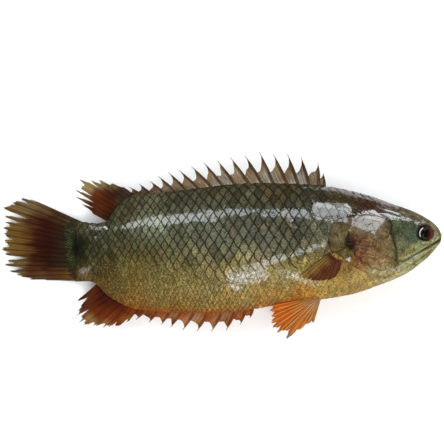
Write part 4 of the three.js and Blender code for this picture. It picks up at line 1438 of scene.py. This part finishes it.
ribs = sums(scale_skin, "SINE", sums(scale_skin, "MULTIPLY", stored(scale_skin, "across"), 42.0))
height = sums(scale_skin, "ADD", sums(scale_skin, "MULTIPLY", ribs, 0.12), noise(scale_skin, 900, 4, 0.6))
bumped(scale_skin, shader, height, 0.8, 0.0004)
film_of_water(scale_skin, shader, sums(scale_skin, "MULTIPLY", rim_dark, outline))
link(scale_skin, ramp(scale_skin, noise(scale_skin, 500, 3, 0.5), 0.3, 0.7, 0.3, 0.55), shader.inputs["Roughness"])
describe(scale_skin)

# %% [markdown]
# The head has no large scales. Its skin is blotched and freckled, and fine cracks run between its plates of bone.

# %% Head skin material
head_skin, shader = new_material("wet_skin", Coat_Weight=0.9, Coat_Roughness=0.06, Coat_IOR=1.8)
colour = stored(head_skin, "paint", "Color")
grain = noise(head_skin, 1700, 5, 0.72)
patch = noise(head_skin, 420, 5, 0.65, 0.8)
drift = noise(head_skin, 190, 4, 0.6)
wander = node(
    head_skin, "ShaderNodeVectorMath", {"operation": "MULTIPLY_ADD"},
    _0=node(head_skin, "ShaderNodeTexNoise", Vector=place_of(head_skin), Scale=420.0, Detail=4.0).outputs["Color"],
    _1=(0.002, 0.002, 0.002), _2=place_of(head_skin),
).outputs[0]
cracks = node(
    head_skin, "ShaderNodeTexVoronoi", {"feature": "DISTANCE_TO_EDGE"}, Vector=wander, Scale=270.0
).outputs["Distance"]
colour = tinted(head_skin, ramp(head_skin, drift, 0.5, 0.64, 0.0, 0.75), colour, (0.96, 0.76, 0.6))
colour = tinted(head_skin, ramp(head_skin, patch, 0.5, 0.64, 0.0, 0.8), colour, (1.7, 1.75, 1.6))
colour = tinted(head_skin, ramp(head_skin, patch, 0.47, 0.34, 0.0, 0.9), colour, (0.42, 0.38, 0.34))
flecks = noise(head_skin, 1100, 4, 0.7, 0.6)
colour = tinted(head_skin, ramp(head_skin, flecks, 0.56, 0.66, 0.0, 0.8), colour, (2.1, 2.2, 2.1))
colour = tinted(head_skin, ramp(head_skin, grain, 0.5, 0.36, 0.0, 0.78), colour, (0.34, 0.3, 0.24))
colour = tinted(head_skin, ramp(head_skin, cracks, 0.05, 0.0, 0.0, 0.55), colour, (0.4, 0.28, 0.22))
colour = tinted(head_skin, 1.0, colour, (1.02, 0.98, 0.86))
link(head_skin, colour, shader.inputs["Base Color"])
cells = node(head_skin, "ShaderNodeTexVoronoi", Vector=place_of(head_skin), Scale=700.0).outputs["Distance"]
height = sums(head_skin, "ADD", sums(head_skin, "MULTIPLY", cells, 0.5), noise(head_skin, 420, 5, 0.65))
height = sums(head_skin, "ADD", height, ramp(head_skin, cracks, 0.0, 0.08, 0.0, 0.6))
bumped(head_skin, shader, height, 0.7, 0.0005)
film_of_water(head_skin, shader, ramp(head_skin, cracks, 0.03, 0.0, 0.0, 0.9))
link(head_skin, ramp(head_skin, patch, 0.3, 0.7, 0.34, 0.58), shader.inputs["Roughness"])
describe(head_skin)

# %% [markdown]
# A web is thin skin over rays. It reads its paint from the mesh, is darker or paler along each ray, and is
# streaked between them. Spines change colour from foot to tip. They and the teeth of the gill covers are stained.

# %% Fin materials
def fin_material(name, dark, light, line_share, on_ray=None):
    """A web that reads the paint. Dark and light multiply it along the rays and in streaks between them."""
    made, shader = new_material(name, Roughness=0.55, Coat_Weight=0.03, Coat_Roughness=0.2)
    colour = stored(made, "paint", "Color")
    ray = stored(made, "ray")
    main = sums(made, "COSINE", sums(made, "MULTIPLY", ray, 2 * math.pi))
    fine = sums(made, "COSINE", sums(made, "MULTIPLY", ray, 2 * math.pi * BRANCHES))
    streak = node(
        made, "ShaderNodeTexNoise",
        Vector=node(
            made, "ShaderNodeCombineXYZ", X=sums(made, "MULTIPLY", ray, 9.0),
            Y=sums(made, "MULTIPLY", stored(made, "out"), 2.2),
        ).outputs[0],
        Scale=1.0, Detail=5.0, Roughness=0.6,
    ).outputs["Fac"]
    colour = tinted(made, ramp(made, main, 0.5, 1.0, 0.0, line_share), colour, on_ray or dark)
    colour = tinted(made, ramp(made, fine, -1.0, -0.2, 0.5 * line_share, 0.0), colour, dark)
    colour = tinted(made, ramp(made, streak, 0.52, 0.7, 0.0, 0.75), colour, light)
    colour = tinted(made, ramp(made, streak, 0.3, 0.48, 0.75, 0.0), colour, dark)
    link(made, colour, shader.inputs["Base Color"])
    height = sums(made, "ADD", sums(made, "MULTIPLY", fine, 0.25), noise(made, 800, 4, 0.6))
    bumped(made, shader, height, 0.5, 0.0002)
    return made


tail_skin = fin_material("tail_fin", (0.3, 0.26, 0.22), (2.2, 1.9, 1.5), 0.75)
dorsal_skin = fin_material("dorsal_web", (0.26, 0.22, 0.17), (2.2, 2.2, 2.1), 0.8)
soft_dorsal_skin = fin_material("dorsal_soft", (0.35, 0.3, 0.26), (2.6, 2.1, 1.3), 0.6)
anal_skin = fin_material("anal_web", (0.4, 0.26, 0.17), (1.8, 1.8, 1.8), 0.65)
soft_anal_skin = fin_material("anal_soft", (0.4, 0.3, 0.26), (2.1, 1.8, 1.2), 0.55)
pelvic_skin = fin_material("pelvic_web", (0.6, 0.4, 0.26), (1.25, 1.5, 1.8), 0.9, (1.5, 2.1, 3.4))
pectoral_skin = fin_material("pectoral_web", (0.36, 0.26, 0.2), (2.1, 2.1, 1.8), 0.75)


def spine_material(name, roughness, coat, foot, shaft, tip, stain, shaft_from, tip_from, stained):
    """Bone that changes from the foot's colour to the shaft's and the tip's, with stains."""
    made, shader = new_material(name, Roughness=roughness, Coat_Weight=coat, Coat_Roughness=0.15)
    out = stored(made, "out")
    colour = mixed(made, ramp(made, out, 0.0, shaft_from), rgba(*foot), rgba(*shaft))
    colour = mixed(made, ramp(made, out, tip_from, 0.98), colour, rgba(*tip))
    colour = mixed(made, ramp(made, noise(made, 900, 4, 0.6), 0.4, 0.7, 0.0, stained), colour, rgba(*stain))
    link(made, colour, shader.inputs["Base Color"])
    bumped(made, shader, noise(made, 1500, 3, 0.6), 0.4, 0.0002)
    return made


spine_skin = spine_material(
    "spines", 0.35, 0.2, (108, 86, 62), (76, 54, 34), (150, 134, 112), (36, 26, 18), 0.35, 0.78, 0.5
)
red_spine_skin = spine_material(
    "red_spines", 0.38, 0.15, (168, 96, 48), (122, 64, 26), (96, 76, 58), (60, 30, 14), 0.3, 0.75, 0.4
)

tooth_skin, shader = new_material("gill_teeth", Roughness=0.35, Coat_Weight=0.15, Coat_Roughness=0.1)
stains = ramp(tooth_skin, noise(tooth_skin, 900, 3, 0.6), 0.35, 0.65)
link(tooth_skin, mixed(tooth_skin, stains, rgba(38, 23, 17), rgba(88, 62, 48)), shader.inputs["Base Color"])
for made in (tail_skin, spine_skin, tooth_skin):
    describe(made)

# %% [markdown]
# The eye is a black pupil in a red-brown iris under clear glass. The iris is painted redder towards the snout
# as painted light that it catches there, and a pale crescent painted on it is the eye's highlight.

# %% Eye material
eye_glass, shader = new_material("eye", Roughness=0.2, Coat_Roughness=0.03, Coat_IOR=1.8)
around = stored(eye_glass, "from_pupil")
glint = stored(eye_glass, "glint")
fibres = noise(eye_glass, 2600, 3, 0.6)
iris = mixed(eye_glass, ramp(eye_glass, fibres, 0.35, 0.7), rgba(26, 12, 9), rgba(56, 26, 18))
# Painted light: the red-brown iris is painted redder on the side towards the snout, where it catches the light.
lit = ramp(eye_glass, stored(eye_glass, "towards_snout"), 0.1, 0.7, 0.0, 0.7)
iris = mixed(eye_glass, lit, iris, rgba(96, 36, 26))
colour = mixed(eye_glass, ramp(eye_glass, around, 0.48, 0.68), rgba(5, 4, 4), iris)
# The pale crescent is a painted highlight, not a colour of the iris.
colour = mixed(eye_glass, ramp(eye_glass, glint, 0.3, 0.7, 0.0, 0.8), colour, rgba(206, 210, 206))
colour = mixed(eye_glass, ramp(eye_glass, around, 0.86, 0.96), colour, rgba(28, 24, 20))
link(eye_glass, colour, shader.inputs["Base Color"])
link(eye_glass, ramp(eye_glass, glint, 0.15, 0.6, 0.05, 1.0), shader.inputs["Coat Weight"])
describe(eye_glass)

# %% [markdown]
# Each piece takes its material, hides the imported node it stands for, and rides on the frame's one body.

# %% Put the pieces on the frame
PIECES = [
    (skin, head_skin, "skin", "body"),
    (scales_right, scale_skin, "skin", "body"),
    (scales_left, scale_skin, "skin", "body"),
    (cover_right, head_skin, "gill_cover", "gill_cover_right"),
    (cover_left, head_skin, "gill_cover", "gill_cover_left"),
    (teeth_right, tooth_skin, "gill_cover", "gill_cover_right"),
    (teeth_left, tooth_skin, "gill_cover", "gill_cover_left"),
    (eye_right, eye_glass, "eye", "eye_right"),
    (eye_left, eye_glass, "eye", "eye_left"),
    (tail, tail_skin, "red_fin", "tail_fin"),
    (comb, scale_skin, "red_fin", "tail_fin"),
    (dorsal_soft, soft_dorsal_skin, "brown_fin", "dorsal_fin"),
    (dorsal_spines, spine_skin, "brown_fin", "dorsal_fin"),
    (dorsal_web, dorsal_skin, "brown_fin", "dorsal_fin"),
    (anal_soft, soft_anal_skin, "red_fin", "anal_fin"),
    (anal_spines, red_spine_skin, "red_fin", "anal_fin"),
    (anal_web, anal_skin, "red_fin", "anal_fin"),
    (pelvic_right, pelvic_skin, "orange_fin", "pelvic_fin_right"),
    (pelvic_left, pelvic_skin, "orange_fin", "pelvic_fin_left"),
    (pectoral_right, pectoral_skin, "red_fin", "pectoral_fin_right"),
    (pectoral_left, pectoral_skin, "red_fin", "pectoral_fin_left"),
]
for piece, material, slot, stands_for in PIECES:
    piece.data.materials.clear()
    piece.data.materials.append(material)
    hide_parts(stands_for)
    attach(piece, "root")
print(len(PIECES), "pieces,", sum(len(p[0].data.polygons) for p in PIECES), "faces")

# %% [markdown]
# The fish lies on a plain white table. A long soft light beyond its back draws the bright band along its upper
# flank, and a shorter one below its belly draws the broken one behind the gill cover. Others stand at the corners,
# and wide dim ones on all four sides fill the rest.

# %% Table, lights and camera
let_go()
bpy.ops.mesh.primitive_plane_add(size=3, location=(0, 0, 0))
table = take("table")
table_white, shader = new_material("table_white", Roughness=0.7)
shader.inputs["Base Color"].default_value = (0.97, 0.94, 0.92, 1)
shader.inputs["Specular IOR Level"].default_value = 0.1
table.data.materials.append(table_white)


def soft_light(name, place, aim, width, depth, radiance, turn=0.0, colour=(1, 1, 1)):
    """A rectangular light at place that faces aim. Radiance is its brightness as seen in a mirror."""
    data = bpy.data.lights.new(name, "AREA")
    data.shape = "RECTANGLE"
    data.size, data.size_y = width, depth
    data.energy = radiance * math.pi * width * depth
    data.color = colour
    lamp = bpy.data.objects.new(name, data)
    bpy.context.collection.objects.link(lamp)
    lamp.location = place
    facing = (Vector(aim) - Vector(place)).to_track_quat("-Z", "Y") @ Quaternion((0, 0, 1), math.radians(turn))
    lamp.rotation_euler = facing.to_euler()
    return lamp


WINDOW = (0.86, 0.95, 1.0)
soft_light("upper_strip", (-0.243, 0.278, 0.51), (-0.163, -0.041, 0.05), 0.645, 0.18, 3.7, 20, WINDOW)
soft_light("head_window", (0.22, 0.40, 0.47), (0.05, 0.0, 0.02), 0.30, 0.36, 3.7, 0, WINDOW)
soft_light("lower_strip", (0.06, -0.14, 0.52), (0.02, 0.0, 0.02), 0.40, 0.16, 3.5, 45, WINDOW)
soft_light("lower_patch", (0.08, -0.36, 0.52), (0.02, 0.0, 0.02), 0.30, 0.22, 3.2, 0, WINDOW)
soft_light("tail_corner", (-1.1, 1.1, 0.46), (-0.05, 0.0, 0.02), 0.5, 0.3, 6.0, 0, WINDOW)
soft_light("snout_corner", (0.75, 0.95, 0.47), (0.07, 0.0, 0.02), 0.4, 0.3, 5.0, 0, WINDOW)
soft_light("wall_below", (0.0, -1.1, 0.75), (0.0, 0.0, 0.02), 2.2, 0.9, 2.4)
soft_light("wall_above", (0.0, 1.4, 0.8), (0.0, 0.0, 0.02), 2.2, 0.8, 2.2)
soft_light("wall_snout", (1.3, -0.2, 0.7), (0.0, 0.0, 0.02), 1.8, 0.8, 1.7)
soft_light("wall_tail", (-1.3, -0.2, 0.7), (0.0, 0.0, 0.02), 1.8, 0.8, 1.4)

world = bpy.data.worlds.new("sky") if bpy.context.scene.world is None else bpy.context.scene.world
bpy.context.scene.world = world
world.use_nodes = True
sky = world.node_tree.nodes["Background"]
sky.inputs["Color"].default_value = (1, 1, 1, 1)
sky.inputs["Strength"].default_value = 0.2

camera_data = bpy.data.cameras.new("camera")
camera_data.lens = 238.5  # mm, with a sensor 36 mm wide
camera_data.sensor_width = 36
camera_data.clip_end = 10
camera = bpy.data.objects.new("camera", camera_data)
bpy.context.collection.objects.link(camera)
camera.location = (0.0006, 0.0098, 1.213)
bpy.context.scene.camera = camera
bpy.context.scene.view_settings.view_transform = "Standard"
print("camera", round(camera.location.z, 2), "m above the table, looking straight down")
